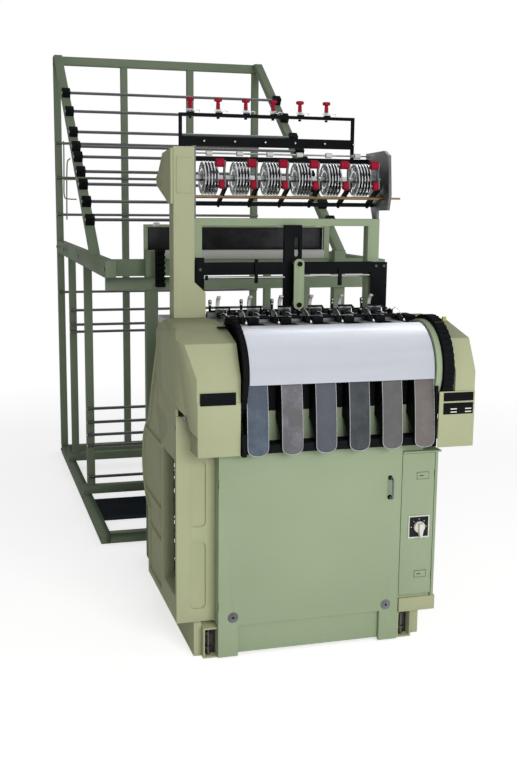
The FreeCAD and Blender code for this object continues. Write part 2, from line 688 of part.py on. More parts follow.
def electrical_box():
    """Box beside the doorway with a round front post and a ledge on top."""
    left, right = BOX_X
    low, high = BOX_Z
    front = SURROUND_FRONT
    body = block(left, right, front, BOX_REAR, low, high)
    cavity = block(left + BOX_WALL, right - BOX_WALL, front + BOX_WALL, BOX_REAR - BOX_WALL,
                   low + BOX_WALL, high - BOX_WALL)
    open_left, open_right, open_low, open_high = BOX_OPENING
    opening = block(open_left, open_right, front, front + BOX_WALL, open_low, open_high)
    post_left = right - POST
    cut = POST_ROUND * (1 - math.sqrt(0.5))
    post = plate([(post_left, DOOR_FRONT), (right - POST_ROUND, DOOR_FRONT),
                  ((right - cut, DOOR_FRONT + cut), (right, DOOR_FRONT + POST_ROUND)),
                  (right, front), (post_left, front)], "z", low, high)
    ledge = block(left, FRAME_RIGHT, DOOR_FRONT - LEDGE_OUT, BOX_REAR, high, high + LEDGE_THICK)
    lugs = [hinge_lug(*hinge) for hinge in HINGES if hinge[1] < 0]
    return union([body.cut(cavity).cut(opening), post, ledge] + lugs)


def switch_bore():
    x = sum(SWITCH_X) / 2
    z = sum(SWITCH_Z) / 2
    return rod_y(DOOR_FRONT - SWITCH_THICK, DOOR_FRONT + SKIN, x, z, KNOB_STEM + RUN)


def electrical_door():
    left, right = BOX_DOOR_X
    low, high = BOX_DOOR_Z
    door = folded_panel([(left, low), (right, low), (right, high), (left, high)])
    hinges = [hinge for hinge in HINGES if hinge[1] < 0]
    door = door.cut([hinge_slot(*hinge) for hinge in hinges] + [switch_bore()])
    return union([door] + [knuckle for hinge in hinges for knuckle in hinge_knuckles(*hinge)])


def switch_plate():
    face = plate(rounded(*SWITCH_X, *SWITCH_Z, SWITCH_ROUND), "y", DOOR_FRONT - SWITCH_THICK, DOOR_FRONT)
    return face.cut(switch_bore())


def switch_knob():
    """Round switch knob with a grip bar across its face, on its stem."""
    x = sum(SWITCH_X) / 2
    z = sum(SWITCH_Z) / 2
    base = DOOR_FRONT - SWITCH_THICK - GAP
    disc = rod_y(base - KNOB_OUT / 2, base, x, z, KNOB_R)
    grip = block(x - KNOB_STEM, x + KNOB_STEM, base - KNOB_OUT, base - KNOB_OUT / 2,
                 z - KNOB_R + GRIP_SHORT, z + KNOB_R - GRIP_SHORT)
    stem = rod_y(base, DOOR_FRONT + SKIN + KNOB_STEM, x, z, KNOB_STEM)
    return union([disc, grip, stem])


# ---------------------------------------------------------------- drive

def motor():
    start, end = MOTOR_X
    body = rod_x(start, end, MOTOR_Y, MOTOR_Z, MOTOR_R)
    fan_cover = rod_x(start - MOTOR_FAN, start, MOTOR_Y, MOTOR_Z, MOTOR_R - COVER_WALL)
    foot_top = MOTOR_Z - MOTOR_R / 2
    feet = block(start + MOTOR_FAN, end - MOTOR_FAN, MOTOR_TIES[0], MOTOR_TIES[1] + TIE,
                 TIE_LOW + TIE, foot_top)
    terminal = block(start + MOTOR_FAN, start + 3 * MOTOR_FAN, MOTOR_Y - MOTOR_FAN,
                     MOTOR_Y + MOTOR_FAN, MOTOR_Z, MOTOR_Z + MOTOR_R + MOTOR_TERMINAL)
    bore = rod_x(end - MOTOR_FAN, end, MOTOR_Y, MOTOR_Z, MOTOR_SHAFT_R + RUN)
    return union([body, fan_cover, feet, terminal]).cut(bore)


def pulley(y, z, radius, bore):
    """Flanged belt pulley with a web and a hub."""
    start, end = PULLEY_X
    middle = (start + end) / 2
    side = (end - start - BELT_WIDTH) / 2 - GAP
    rim = rod_x(start, end, y, z, radius)
    flanges = [rod_x(start, start + side, y, z, radius + BELT_THICK / 2),
               rod_x(end - side, end, y, z, radius + BELT_THICK / 2)]
    wheel = union([rim] + flanges)
    inner = radius - PULLEY_RIM
    hub = bore + BOSS
    if inner > hub + BOSS:
        for a, b in ((start, middle - PULLEY_WEB / 2), (middle + PULLEY_WEB / 2, end)):
            hollow = rod_x(a, b, y, z, inner).cut(rod_x(a, b, y, z, hub))
            wheel = wheel.cut(hollow)
    return wheel.cut(rod_x(start, end, y, z, bore + FIT))


def motor_pulley():
    shaft = rod_x(MOTOR_X[1] - MOTOR_FAN + GAP, PULLEY_X[1] + GAP, MOTOR_Y, MOTOR_Z, MOTOR_SHAFT_R)
    return Part.makeCompound([pulley(MOTOR_Y, MOTOR_Z, MOTOR_PULLEY_R, MOTOR_SHAFT_R), shaft])


def main_pulley():
    return pulley(MAIN_Y, MAIN_Z, MAIN_PULLEY_R, MAIN_R)


def main_shaft():
    return rod_x(FRAME_LEFT + WALL + GAP, FRAME_RIGHT - WALL - GAP, MAIN_Y, MAIN_Z, MAIN_R)


def drive_belt():
    """Flat belt round both pulleys, tangent to each."""
    def loop(extra):
        first = MAIN_PULLEY_R + extra
        second = MOTOR_PULLEY_R + extra
        along_y = MOTOR_Y - MAIN_Y
        along_z = MOTOR_Z - MAIN_Z
        distance = math.hypot(along_y, along_z)
        heading = math.atan2(along_z, along_y)
        spread = math.acos((first - second) / distance)

        def at(y, z, radius, angle):
            return (y + radius * math.cos(angle), z + radius * math.sin(angle))

        start = at(MAIN_Y, MAIN_Z, first, heading + spread)
        return [start, at(MOTOR_Y, MOTOR_Z, second, heading + spread),
                (at(MOTOR_Y, MOTOR_Z, second, heading), at(MOTOR_Y, MOTOR_Z, second, heading - spread)),
                at(MAIN_Y, MAIN_Z, first, heading - spread),
                (at(MAIN_Y, MAIN_Z, first, heading + math.pi), start)]

    middle = sum(PULLEY_X) / 2
    start, end = middle - BELT_WIDTH / 2, middle + BELT_WIDTH / 2
    return plate(loop(GAP + BELT_THICK), "x", start, end).cut(plate(loop(GAP), "x", start, end))


# ---------------------------------------------------------------- bed and covers

def head_bed():
    """Table that ties the side frames on top, with a slot for each reed."""
    front, rear, low, high = BED
    table = block(*BED_FRONT_X, front, BED_STEP, low, high)
    back = block(*BED_REAR_X, BED_STEP, rear, low, high)
    rail = block(*RAIL_X, *RAIL, high, RAIL_TOP)
    left, right, shelf_front, shelf_low = BED_SHELF
    shelf = block(left, right, shelf_front, front, shelf_low, high)
    half, slot_front, slot_rear = REED_SLOT
    slots = [block(x - half, x + half, slot_front, slot_rear, low, high) for x in HEAD_X]
    return union([table, back, rail, shelf]).cut(slots)


def cover_profile(front, bottom, wall=0.0):
    """Gear cover seen along X. With a wall it is the hollow inside, open at the bottom."""
    (z1, d1), (z2, d2), (z3, d3) = COVER_LEAN
    top_y, top_z = COVER_TOP
    low = bottom - wall
    seat = PILLAR_TOP + 2 * GAP + wall
    return [
        (front + wall, low), (-GAP - wall, low), (-GAP - wall, seat),
        (COVER_REAR - wall, COVER_REAR_BOTTOM + wall), (COVER_REAR - wall, top_z - wall),
        (top_y, top_z - wall), (front + d3 + wall, z3 - wall), (front + d2 + wall, z2),
        (front + d1 + wall, z1), (front + wall, z1 - COVER_WALL),
    ]


def gear_cover_left():
    """Cover with a lower body in front of the pillar and a flared upper body over it."""
    edge, body_left, right = LEFT_COVER
    front = LEFT_COVER_FRONT
    top = COVER_TOP[1] + BOSS
    body = plate(cover_profile(front, LEFT_COVER_BOTTOM), "x", body_left, right)
    wing = plate(cover_profile(front, FLARE_LOW), "x", edge, body_left)
    roof = COVER_TOP[1]
    cut = FLARE_ROUND * (1 - math.sqrt(0.5))
    flare = plate([(body_left, FLARE_LOW), (FLARE[0], FLARE[1]), (FLARE[2], FLARE[3]),
                   (FLARE[4], (edge, FLARE_HIGH)), (edge, roof - FLARE_ROUND),
                   ((edge + cut, roof - cut), (edge + FLARE_ROUND, roof)),
                   (edge + FLARE_ROUND, top), (body_left, top)], "y", front, COVER_REAR)

    def plan(wall):
        left, rear = edge + wall, COVER_REAR - wall
        return plate([(body_left + wall, front + wall), (body_left + wall, rear), (left, rear),
                      (left, FLARE_FULL + wall)], "z", 0, top)

    outer = union([body, wing.common(flare).common(plan(0))])
    inside = plate(cover_profile(front, LEFT_COVER_BOTTOM, COVER_WALL), "x",
                   body_left + COVER_WALL, right - COVER_WALL)
    wing_inside = plate(cover_profile(front, FLARE_LOW, COVER_WALL), "x",
                        edge + COVER_WALL, body_left + COVER_WALL)
    hollow = plate([(edge + COVER_WALL, 0), (edge + COVER_WALL, roof - FLARE_ROUND),
                    ((edge + cut + COVER_WALL / 2, roof - cut - COVER_WALL / 2),
                     (edge + FLARE_ROUND, roof - COVER_WALL)),
                    (body_left + COVER_WALL, roof - COVER_WALL), (body_left + COVER_WALL, 0)],
                   "y", front, COVER_REAR)
    return outer.cut([inside, wing_inside.common(hollow).common(plan(COVER_WALL))])


def gear_cover_right():
    """Cover with a low front beside the take-off wheel and a tall body at its right."""
    left, body_left, right = RIGHT_COVER
    front = RIGHT_COVER_FRONT
    low = block(left, right, front, -GAP, RIGHT_COVER_BOTTOM, RIGHT_APRON_TOP)
    tall = plate(cover_profile(front, RIGHT_COVER_BOTTOM), "x", body_left, right)
    inside_low = block(left, right - COVER_WALL, front + COVER_WALL, -GAP - COVER_WALL,
                       RIGHT_COVER_BOTTOM, RIGHT_APRON_TOP)
    inside_tall = plate(cover_profile(front, RIGHT_COVER_BOTTOM, COVER_WALL), "x",
                        body_left + COVER_WALL, right - COVER_WALL)
    well = block(left, body_left - GAP, front + COVER_WALL, COVER_REAR, WHEEL_WELL[1], COVER_TOP[1])
    return union([low, tall]).cut([inside_low, inside_tall, well])


def name_plates():
    """Bare plates on the fronts of the two covers."""
    plates = []
    for left, right, low, high in PLATES:
        front = LEFT_COVER_FRONT if right < 0 else RIGHT_COVER_FRONT
        plates.append(block(left, right, front - PLATE_THICK, front, low, high))
    return Part.makeCompound(plates)


# ---------------------------------------------------------------- take-off

def take_off_hood():
    """Bright sheet bent over the roller, straight down at the front."""
    def section(radius):
        start = math.radians(HOOD_REAR_ANGLE)
        return [(ROLLER_Y + radius * math.cos(angle), ROLLER_Z + radius * math.sin(angle))
                for angle in (start, (start + math.pi) / 2, math.pi)]

    rear, top, front = section(HOOD_R)
    inner_rear, inner_top, inner_front = section(HOOD_R - HOOD_THICK)
    outline = [rear, (top, front), (front[0], HOOD_LOW), (inner_front[0], HOOD_LOW), inner_front,
               (inner_top, inner_rear)]
    return plate(outline, "x", *HOOD_X)


def hood_ring():
    ring = rod_x(*RING_X, ROLLER_Y, ROLLER_Z, RING_R)
    return ring.cut(rod_x(*RING_X, ROLLER_Y, ROLLER_Z, ROLLER_SHAFT_R + RUN))


def roller_cheeks():
    """End plates that carry the roller and the hood, standing on the front tie."""
    radius = HOOD_R - HOOD_THICK
    cheeks = []
    left, right = HOOD_X
    for start, end in ((left + GAP, left + GAP + CHEEK_THICK), (right - CHEEK_THICK, RING_X[0])):
        disc = rod_x(start, end, ROLLER_Y, ROLLER_Z, radius)
        leg = block(start, end, TIE_FRONT_Y, TIE_FRONT_Y + TIE, TIE_HIGH + TIE, ROLLER_Z)
        room = block(start, end, ROLLER_Y - 2 * radius, SURROUND_FRONT + SHEET + GAP,
                     ROLLER_Z - 2 * radius, CHUTE_TOP + GAP)
        bore = rod_x(start, end, ROLLER_Y, ROLLER_Z, ROLLER_SHAFT_R + RUN)
        if end == RING_X[0]:
            edge = rod_x(right, end, ROLLER_Y, ROLLER_Z, 2 * radius)
            disc = disc.cut(edge.cut(rod_x(right, end, ROLLER_Y, ROLLER_Z, radius - COVER_WALL)))
        cheeks.append(union([disc, leg]).cut([room, bore]))
    return Part.makeCompound(cheeks)


def take_off_roller():
    """Hollow roller with end walls on a through shaft."""
    start = HOOD_X[0] + 3 * CHEEK_THICK
    end = HOOD_X[1] - 3 * CHEEK_THICK
    shell = rod_x(start, end, ROLLER_Y, ROLLER_Z, ROLLER_R)
    hollow = rod_x(start + CHEEK_THICK, end - CHEEK_THICK, ROLLER_Y, ROLLER_Z, ROLLER_R - ROLLER_WALL)
    shaft = rod_x(LEFT_WHEEL_X[0], RIGHT_WHEEL_X[1], ROLLER_Y, ROLLER_Z, ROLLER_SHAFT_R)
    return union([shell.cut(hollow), shaft])


def handwheels():
    """The two wheels at the ends of the roller's shaft."""
    return Part.makeCompound([handwheel(*LEFT_WHEEL_X), handwheel(*RIGHT_WHEEL_X)])


def handwheel(start, end):
    """Wheel with a gripped rim and round holes in its web."""
    wheel = rod_x(start, end, ROLLER_Y, ROLLER_Z, WHEEL_R)
    hollow = rod_x(start, end - WHEEL_WEB, ROLLER_Y, ROLLER_Z, WHEEL_R - WHEEL_RIM)
    wheel = wheel.cut(hollow.cut(rod_x(start, end, ROLLER_Y, ROLLER_Z, HUB_R)))
    cuts = [rod_x(start, end, ROLLER_Y, ROLLER_Z, ROLLER_SHAFT_R + FIT)]
    for number in range(WHEEL_HOLES):
        angle = 2 * math.pi * number / WHEEL_HOLES
        cuts.append(rod_x(start, end, ROLLER_Y + WHEEL_HOLE_AT * math.cos(angle),
                          ROLLER_Z + WHEEL_HOLE_AT * math.sin(angle), WHEEL_HOLE_R))
    for number in range(WHEEL_GRIPS):
        grip = block(start, end, ROLLER_Y + WHEEL_R - GRIP_DEEP, ROLLER_Y + WHEEL_R + GRIP_DEEP,
                     ROLLER_Z - GRIP_WIDE / 2, ROLLER_Z + GRIP_WIDE / 2)
        grip.rotate(V(0, ROLLER_Y, ROLLER_Z), V(1, 0, 0), 360.0 * number / WHEEL_GRIPS)
        cuts.append(grip)
    return wheel.cut(cuts)


# ---------------------------------------------------------------- chutes

def fabric_chutes():
    """Guides down which the finished tapes slide: folded sheets with deep side walls at the top."""
    front_top, front_middle, front_low = CHUTE_FACE
    back_low, back_turn, back_bend, back_deep, back_top = CHUTE_BACK
    side = [front_top, (front_middle, front_low), back_low, back_turn, (back_bend, back_deep), back_top]
    sheet = CHUTE_SHEET
    half = CHUTE_WIDTH / 2
    deep = abs(front_low[0]) + sheet
    lip_end = CHUTE_BOTTOM + CHUTE_END_RISE
    inside = [(front_top[0] + sheet, front_top[1]),
              ((front_middle[0] + sheet, front_middle[1]), (front_low[0] + sheet, front_low[1])),
              (0, front_low[1]), (0, front_top[1])]
    chutes = []
    for x in HEAD_X:
        face = [(x - half, lip_end), ((x, CHUTE_BOTTOM), (x + half, lip_end)),
                (x + half, CHUTE_TOP), (x - half, CHUTE_TOP)]
        body = plate(side, "x", x - half, x + half).common(plate(face, "y", -deep - sheet, 0))
        chutes.append(body.cut(plate(inside, "x", x - half + sheet, x + half - sheet)))
    return Part.makeCompound(chutes)


def chute_bar():
    """Dark channel behind the lower ends of the chutes and a flat rail behind their upper ends."""
    front, back, low, high = CHUTE_BAR
    bar = block(*CHUTE_BAR_X, front, back, low, high)
    inside = block(*CHUTE_BAR_X, front + CHUTE_SHEET, back, low + CHUTE_SHEET, high - CHUTE_SHEET)
    rail = block(*HOOD_X, CHUTE_BACK[-1][0] + GAP, SURROUND_FRONT, APRON_TOP - CHUTE_RAIL_LAP, CHUTE_TOP)
    return Part.makeCompound([bar.cut(inside), rail])


# ---------------------------------------------------------------- column, portal and harness

def column():
    """Hollow cast column with a raised panel and a gusset at its foot."""
    left, right, front, rear = COLUMN
    low = BED[3]
    wall = COLUMN_WALL
    body = block(left, right, front, rear, low, COLUMN_TOP)
    hollow = block(left + wall, right - wall, front + wall, rear - wall, low, COLUMN_TOP - wall)
    panel = block(left + wall, right - wall, front - COLUMN_PANEL_OUT, front, *COLUMN_PANEL)
    gusset = plate([(right, low), (GUSSET_X, low), (GUSSET_X, HARNESS_CHEEK[2]), (right, GUSSET_TOP)],
                   "y", front, GUSSET_REAR)
    return union([body.cut(hollow), panel, gusset])


def belt_guard():
    """Shallow cover on the column's left side."""
    face = COLUMN[0]
    outer = plate(GUARD, "x", face - GUARD_THICK, face)
    rim = outline_face(GUARD, "x", face - GUARD_THICK + SHEET)
    inner = Part.Face(rim.OuterWire.makeOffset2D(-SHEET, 2))
    return outer.cut(inner.extrude(V(GUARD_THICK, 0, 0)))


def portal_frame():
    """Two posts and a crossbar behind the column."""
    front, rear = PORTAL_Y
    low = BED[3]
    posts = [block(left, right, front, rear, low, PORTAL_TOP) for left, right in (PORTAL_LEFT, PORTAL_RIGHT)]
    bar = block(PORTAL_LEFT[1], PORTAL_RIGHT[0], front, rear, PORTAL_TOP - PORTAL_BAR, PORTAL_TOP)
    return union(posts + [bar])


def harness_frame():
    """Black upright plate across the machine with its slotted tower."""
    front, rear = HARNESS_Y
    parts = []
    for left, right, low, high in (HARNESS_CHEEK, HARNESS_UPRIGHT, HARNESS_TOWER,
                                   (HARNESS_CHEEK[1], HARNESS_UPRIGHT[0]) + HARNESS_BEAM):
        parts.append(block(left, right, front, rear, low, high))
    slot = plate(rounded(*TOWER_SLOT, TOWER_SLOT_ROUND), "y", front, rear)
    return union(parts).cut(slot)


def harness_link():
    """Link bar in front of the tower, held by two bolts."""
    left, right, low, high = LINK
    front, rear = LINK_Y
    bar = plate(rounded(left, right, low, high, LINK_ROUND), "y", front, rear)
    x = (left + right) / 2
    bolts = [rod_y(front - LINK_BOLT_R, HARNESS_Y[0], x, z, LINK_BOLT_R)
             for z in (low + LINK_ROUND, high - LINK_ROUND)]
    return union([bar] + bolts)


# ---------------------------------------------------------------- yarn feeder

def strap(first, second, half, start, end):
    """Bar with round ends between two centres (Y, Z), flat between start and end along X."""
    along = V(0, second[0] - first[0], second[1] - first[1]).normalize()
    side = V(0, -along.z, along.y)

    def at(centre, forward, sideways):
        point = V(0, *centre) + along * (forward * half) + side * (sideways * half)
        return (point.y, point.z)

    outline = [at(first, 0, -1), at(second, 0, -1), (at(second, 1, 0), at(second, 0, 1)),
               at(first, 0, 1), (at(first, -1, 0), at(first, 0, -1))]
    return plate(outline, "x", start, end)


def end_plates():
    """Side plates of the feeder: a steel one on the column, a cast one on the portal."""
    front, rear, high = LEFT_PLATE
    left = block(*LEFT_PLATE_X, front, rear, PORTAL_TOP + GAP, high)
    right = plate(list(RIGHT_PLATE), "x", *RIGHT_PLATE_X)
    ends = (LEFT_PLATE_X[0], RIGHT_PLATE_X[1])
    bores = [rod_x(*ends, FEED_Y, FEED_Z, FEED_R + RUN), rod_x(*ends, SCREW_Y, SCREW_Z, SCREW_R + FIT),
             rod_x(*ends, CLAMP_BAR_Y, CLAMP_BAR_Z, CLAMP_BAR_R + FIT)]
    return Part.makeCompound([left.cut(bores), right.cut(bores)])


def feed_shaft():
    return rod_x(LEFT_PLATE_X[0] + GAP, RIGHT_PLATE_X[1] + BOSS, FEED_Y, FEED_Z, FEED_R)


def feed_discs():
    """One set of thin drilled discs on a hub for each head."""
    sets = []
    half = (DISC_STEP * (DISCS - 1) + DISC_THICK) / 2
    for x in HEAD_X:
        middle = x + DISC_SHIFT
        parts = [rod_x(middle - half, middle + half, FEED_Y, FEED_Z, DISC_HUB_R)]
        for number in range(DISCS):
            start = middle - half + DISC_STEP * number
            parts.append(rod_x(start, start + DISC_THICK, FEED_Y, FEED_Z, DISC_R))
        cuts = [rod_x(middle - half, middle + half, FEED_Y, FEED_Z, FEED_R + FIT)]
        for number in range(DISC_HOLES):
            angle = 2 * math.pi * number / DISC_HOLES
            cuts.append(rod_x(middle - half, middle + half, FEED_Y + DISC_HOLE_AT * math.cos(angle),
                              FEED_Z + DISC_HOLE_AT * math.sin(angle), DISC_HOLE_R))
        sets.append(union(parts).cut(cuts))
    return Part.makeCompound(sets)


def pressure_arm(x):
    """Lever on its stud with a roller at the top and a knob at the bottom."""
    start, end = x + ARM_X[0], x + ARM_X[1]
    top = (ARM_Y, ARM_Z + ARM_LONG)
    lever = strap((ARM_Y, ARM_Z), top, ARM_HALF, start, end)
    pin = rod_x(start - GAP - ARM_ROLLER_LONG, start, *top, ARM_PIN_R)
    lever = lever.fuse(pin).cut(rod_x(start, end, ARM_Y, ARM_Z, STUD_R + RUN))
    roller = rod_x(start - GAP - ARM_ROLLER_LONG, start - GAP, *top, ARM_ROLLER_R)
    roller = roller.cut(rod_x(start - GAP - ARM_ROLLER_LONG, start - GAP, *top, ARM_PIN_R + FIT))
    knob = rod_x(start - GAP - ARM_KNOB_LONG, start - GAP, ARM_Y, ARM_Z, ARM_KNOB_R)
    knob = knob.cut(rod_x(start - GAP - ARM_KNOB_LONG, start - GAP, ARM_Y, ARM_Z, STUD_R + RUN))
    return Part.makeCompound([lever, roller, knob])


def feeder_bars():
    """Square upper bar and round lower bar, with a clamp and stud for each pressure arm."""
    front, rear, low, high = TOP_BAR
    solids = [block(LEFT_PLATE_X[1], RIGHT_PLATE_X[0], front, rear, low, high),
              rod_x(LEFT_PLATE_X[0] + GAP, RIGHT_PLATE_X[1], CLAMP_BAR_Y, CLAMP_BAR_Z, CLAMP_BAR_R)]
    for x in HEAD_X:
        start, end = x + CLAMP_X[0], x + CLAMP_X[1]
        clamp = strap((CLAMP_BAR_Y, CLAMP_BAR_Z), (ARM_Y, ARM_Z), CLAMP_HALF, start, end)
        stud = rod_x(x + ARM_X[0] - GAP - ARM_KNOB_LONG, start, ARM_Y, ARM_Z, STUD_R)
        solids.append(clamp.fuse(stud).cut(rod_x(start, end, CLAMP_BAR_Y, CLAMP_BAR_Z, CLAMP_BAR_R + FIT)))
    return Part.makeCompound(solids)


def feeder_screw():
    """Brass rod with a thinner tip past the right end plate."""
    start, shoulder, tip = SCREW_X
    return union([rod_x(start, shoulder, SCREW_Y, SCREW_Z, SCREW_R),
                  rod_x(shoulder, tip, SCREW_Y, SCREW_Z, SCREW_TIP_R)])


def yarn_rod():
    """White rod with a collar at each head."""
    y = (TOP_BAR[0] + TOP_BAR[1]) / 2
    parts = [rod_x(LEFT_PLATE_X[1], RIGHT_PLATE_X[0], y, YARN_ROD_Z, YARN_ROD_R)]
    for x in HEAD_X:
        parts.append(rod_x(x, x + COLLAR_LONG, y, YARN_ROD_Z, COLLAR_R))
    return union(parts)


def tension_frame():
    """U frame over the feeder with an angle strip and one hook pin for each head."""
    front, rear = TENSION_Y
    width = TENSION_BAR
    y = (TOP_BAR[0] + TOP_BAR[1]) / 2
    reach = TENSION_X - width
    bar = block(-TENSION_X, TENSION_X, front, rear, TENSION_TOP - width, TENSION_TOP)
    legs = [block(-TENSION_X, -reach, front, rear, YARN_ROD_Z, TENSION_TOP),
            block(reach, TENSION_X, front, rear, TOP_BAR[3], TENSION_TOP)]
    low, high = ANGLE_Z
    upright = block(-reach, reach, front, front + SHEET, low, high)
    shelf = block(-reach, reach, front, rear + width, low, low + SHEET)
    foot = block(LEFT_PLATE_X[0], LEFT_PLATE_X[1], front, rear, LEFT_PLATE[2], low)
    pins = [rod_y(front - HOOK_LONG, front, x + DISC_SHIFT, (low + high) / 2, HOOK_R) for x in HEAD_X]
    bore = rod_x(reach, TENSION_X, y, YARN_ROD_Z, YARN_ROD_R + GAP)
    return union([bar, upright, shelf, foot] + legs + pins).cut(bore)


def yarn_tensioners():
    """Stems with two tension discs and a cross knob on top of the U frame."""
    y = sum(TENSION_Y) / 2
    solids = []
    for number in range(TENSIONERS):
        x = TENSIONER_FIRST + TENSIONER_PITCH * number
        knob_z = TENSION_TOP + TENSIONER_HIGH - TENSIONER_KNOB_R
        reach = TENSIONER_KNOB_LONG / 2
        parts = [rod_z(TENSION_TOP, knob_z, x, y, TENSIONER_STEM_R),
                 rod_x(x - reach, x + reach, y, knob_z, TENSIONER_KNOB_R)]
        for low in (TENSIONER_DISC_R, TENSIONER_DISC_R + 2 * SHEET):
            parts.append(rod_z(TENSION_TOP + low, TENSION_TOP + low + SKIN, x, y, TENSIONER_DISC_R))
        solids.append(union(parts))
    return Part.makeCompound(solids)


# ---------------------------------------------------------------- weaving elements

def sley():
    """Rocking shaft with two arms and the beam that carries the reeds."""
    front, rear, low, high = SLEY_BEAM
    shaft = rod_x(FRAME_LEFT + WALL + GAP, FRAME_RIGHT - WALL - GAP, SLEY_Y, SLEY_Z, SLEY_SHAFT_R)
    beam = block(*SLEY_BEAM_X, front, rear, low, high)
    parts = [shaft, beam]
    hub = SLEY_SHAFT_R + BOSS
    for x in SLEY_ARMS:
        start, end = x - SLEY_ARM_THICK / 2, x + SLEY_ARM_THICK / 2
        parts.append(rod_x(start, end, SLEY_Y, SLEY_Z, hub))
        parts.append(plate([(SLEY_Y - BOSS, SLEY_Z), (SLEY_Y + BOSS, SLEY_Z), (rear, low), (front, low)],
                           "x", start, end))
    return union(parts)


def reeds():
    """Small framed combs on the sley beam, one at each head."""
    half, depth, high = REED
    y = (SLEY_BEAM[0] + SLEY_BEAM[1] - depth) / 2
    low = SLEY_BEAM[3]
    step = (2 * half - 2 * REED_FRAME + REED_BAR) / REED_SLOTS
    combs = []
    for x in HEAD_X:
        comb = block(x - half, x + half, y, y + depth, low, low + high)
        slots = []
        for number in range(REED_SLOTS):
            start = x - half + REED_FRAME + step * number
            slots.append(block(start, start + step - REED_BAR, y, y + depth,
                               low + REED_FOOT, low + high - REED_FRAME))
        combs.append(comb.cut(slots))
    return Part.makeCompound(combs)


def weft_needles():
    """Sliding bar with a sickle needle for each head."""
    front, rear, high = WEFT_BAR
    low = BED[3] + GAP
    bar = block(*NEEDLE_BAR_X, front, rear, low, low + high)
    outer = WEFT_NEEDLE_R
    inner = WEFT_NEEDLE_R - WEFT_NEEDLE
    turn = math.sqrt(0.5)
    parts = [bar]
    for x in HEAD_X:
        centre = x - outer / 2
        outline = [(centre + outer, rear),
                   ((centre + outer * turn, rear + outer * turn), (centre, rear + outer)),
                   (centre, rear + inner),
                   ((centre + inner * turn, rear + inner * turn), (centre + inner, rear))]
        parts.append(plate(outline, "z", low + WEFT_NEEDLE, low + 2 * WEFT_NEEDLE))
    return union(parts)


def latch_needles():
    """Sliding bar with one straight latch needle for each head."""
    front, rear, high = LATCH_BAR
    low = BED[3] + GAP
    parts = [block(*NEEDLE_BAR_X, front, rear, low, low + high)]
    for x in HEAD_X:
        parts.append(rod_y(rear, LATCH_NEEDLE_TIP, x, low + high - 2 * LATCH_NEEDLE_R, LATCH_NEEDLE_R))
    return union(parts)


def thread_guides():
    """Eyelet stems and curved fingers behind the reeds, and the comb on the creel's portal."""
    front, rear = RAIL
    middle = (front + rear) / 2
    solids = []
    for x in HEAD_X:
        stem_x = x + STEM_SHIFT
        stem_top = RAIL_TOP + STEM_RISE
        stem = rod_z(RAIL_TOP, stem_top, stem_x, middle, STEM_R)
        eye = Part.makeTorus(EYE_R, EYE_WIRE_R, V(stem_x, middle, stem_top + EYE_R), V(0, 1, 0))
        solids.append(union([stem, eye]))
        finger_x = x + FINGER_SHIFT
        tip = (middle - 2 * FINGER_WIDE, RAIL_TOP + FINGER_RISE)
        halfway = RAIL_TOP + FINGER_RISE / 2
        outline = [(middle - FINGER_WIDE, RAIL_TOP), (middle, RAIL_TOP),
                   ((middle + FINGER_WIDE / 2, halfway), tip),
                   ((middle - FINGER_WIDE / 2, halfway), (middle - FINGER_WIDE, RAIL_TOP))]
        solids.append(plate(outline, "x", finger_x, finger_x + FINGER_THICK))
    return Part.makeCompound(solids + [guide_comb()])


# ---------------------------------------------------------------- creel

def slope_z(y):
    """Height of a sloped bar's upper edge."""
    at_y, at_z = SLOPE_AT
    return at_z + SLOPE * (y - at_y)


def slope_y(z):
    at_y, at_z = SLOPE_AT
    return at_y + (z - at_z) / SLOPE


def creel_frame():
    """Square bars of the creel, each one straight piece."""
    left, right = CREEL_X
    front, rear = CREEL_Y
    inner_left, inner_right = left + BAR, right - BAR
    bars = [block(inner_left, inner_right, front, front + BAR, 0, RAIL_HIGH),
            block(inner_left, inner_right, rear - BAR, rear, 0, RAIL_HIGH)]
    low, high = MID_RAIL
    top_front = rear - TOP_BEAM
    slope_low = slope_y(high)
    for start in (left, inner_right):
        end = start + BAR
        bars.append(block(start, end, front, rear, 0, RAIL_HIGH))
        bars.append(block(start, end, PORTAL_FRONT, rear - REAR_POST, low, high))
        bars.append(plate([(slope_low, high), (slope_low + SLOPE_BAR / SLOPE, high),
                           (top_front, slope_z(top_front) - SLOPE_BAR), (top_front, REAR_TOP),
                           (slope_y(REAR_TOP), REAR_TOP)], "x", start, end))
    for row in POST_ROWS:
        middle = row - POST_WIDE / 2
        bars.append(block(left, right, middle - BAR / 2, middle + BAR / 2, RAIL_HIGH, CROSS_TOP))
        for start in (left + POST_IN, right - POST_IN - POST_WIDE):
            bars.append(block(start, start + POST_WIDE, row - POST_WIDE, row, CROSS_TOP, low))
    for start in REAR_POSTS:
        bars.append(block(start, start + REAR_POST, rear - REAR_POST, rear, RAIL_HIGH, REAR_TOP - TOP_BEAM))
    bars.append(block(left, right, top_front, rear, REAR_TOP - TOP_BEAM, REAR_TOP))
    bars.append(block(inner_left, inner_right, *CHANNEL_Y, low, high))
    return Part.makeCompound(bars + portal_bars(left, right))


def portal_bars(left, right):
    """Front portal of the creel and the floor bars that tie it to the loom."""
    deep, low, high = PORTAL_BEAM
    front, rear = PORTAL_POST_Y
    bars = [block(left, right, PORTAL_FRONT, PORTAL_FRONT + deep, low, high)]
    for start, end in PORTAL_POSTS:
        bars.append(block(start, end, front, rear, 0, PORTAL_POST_TOP))
    bars.append(block(PORTAL_POSTS[0][1], PORTAL_POSTS[1][0], front, rear, 0, RAIL_HIGH))
    for start, end in TUBES:
        bars.append(block(start, end, TUBE_REAR, front, 0, FOOT_TIE_HIGH))
    return bars


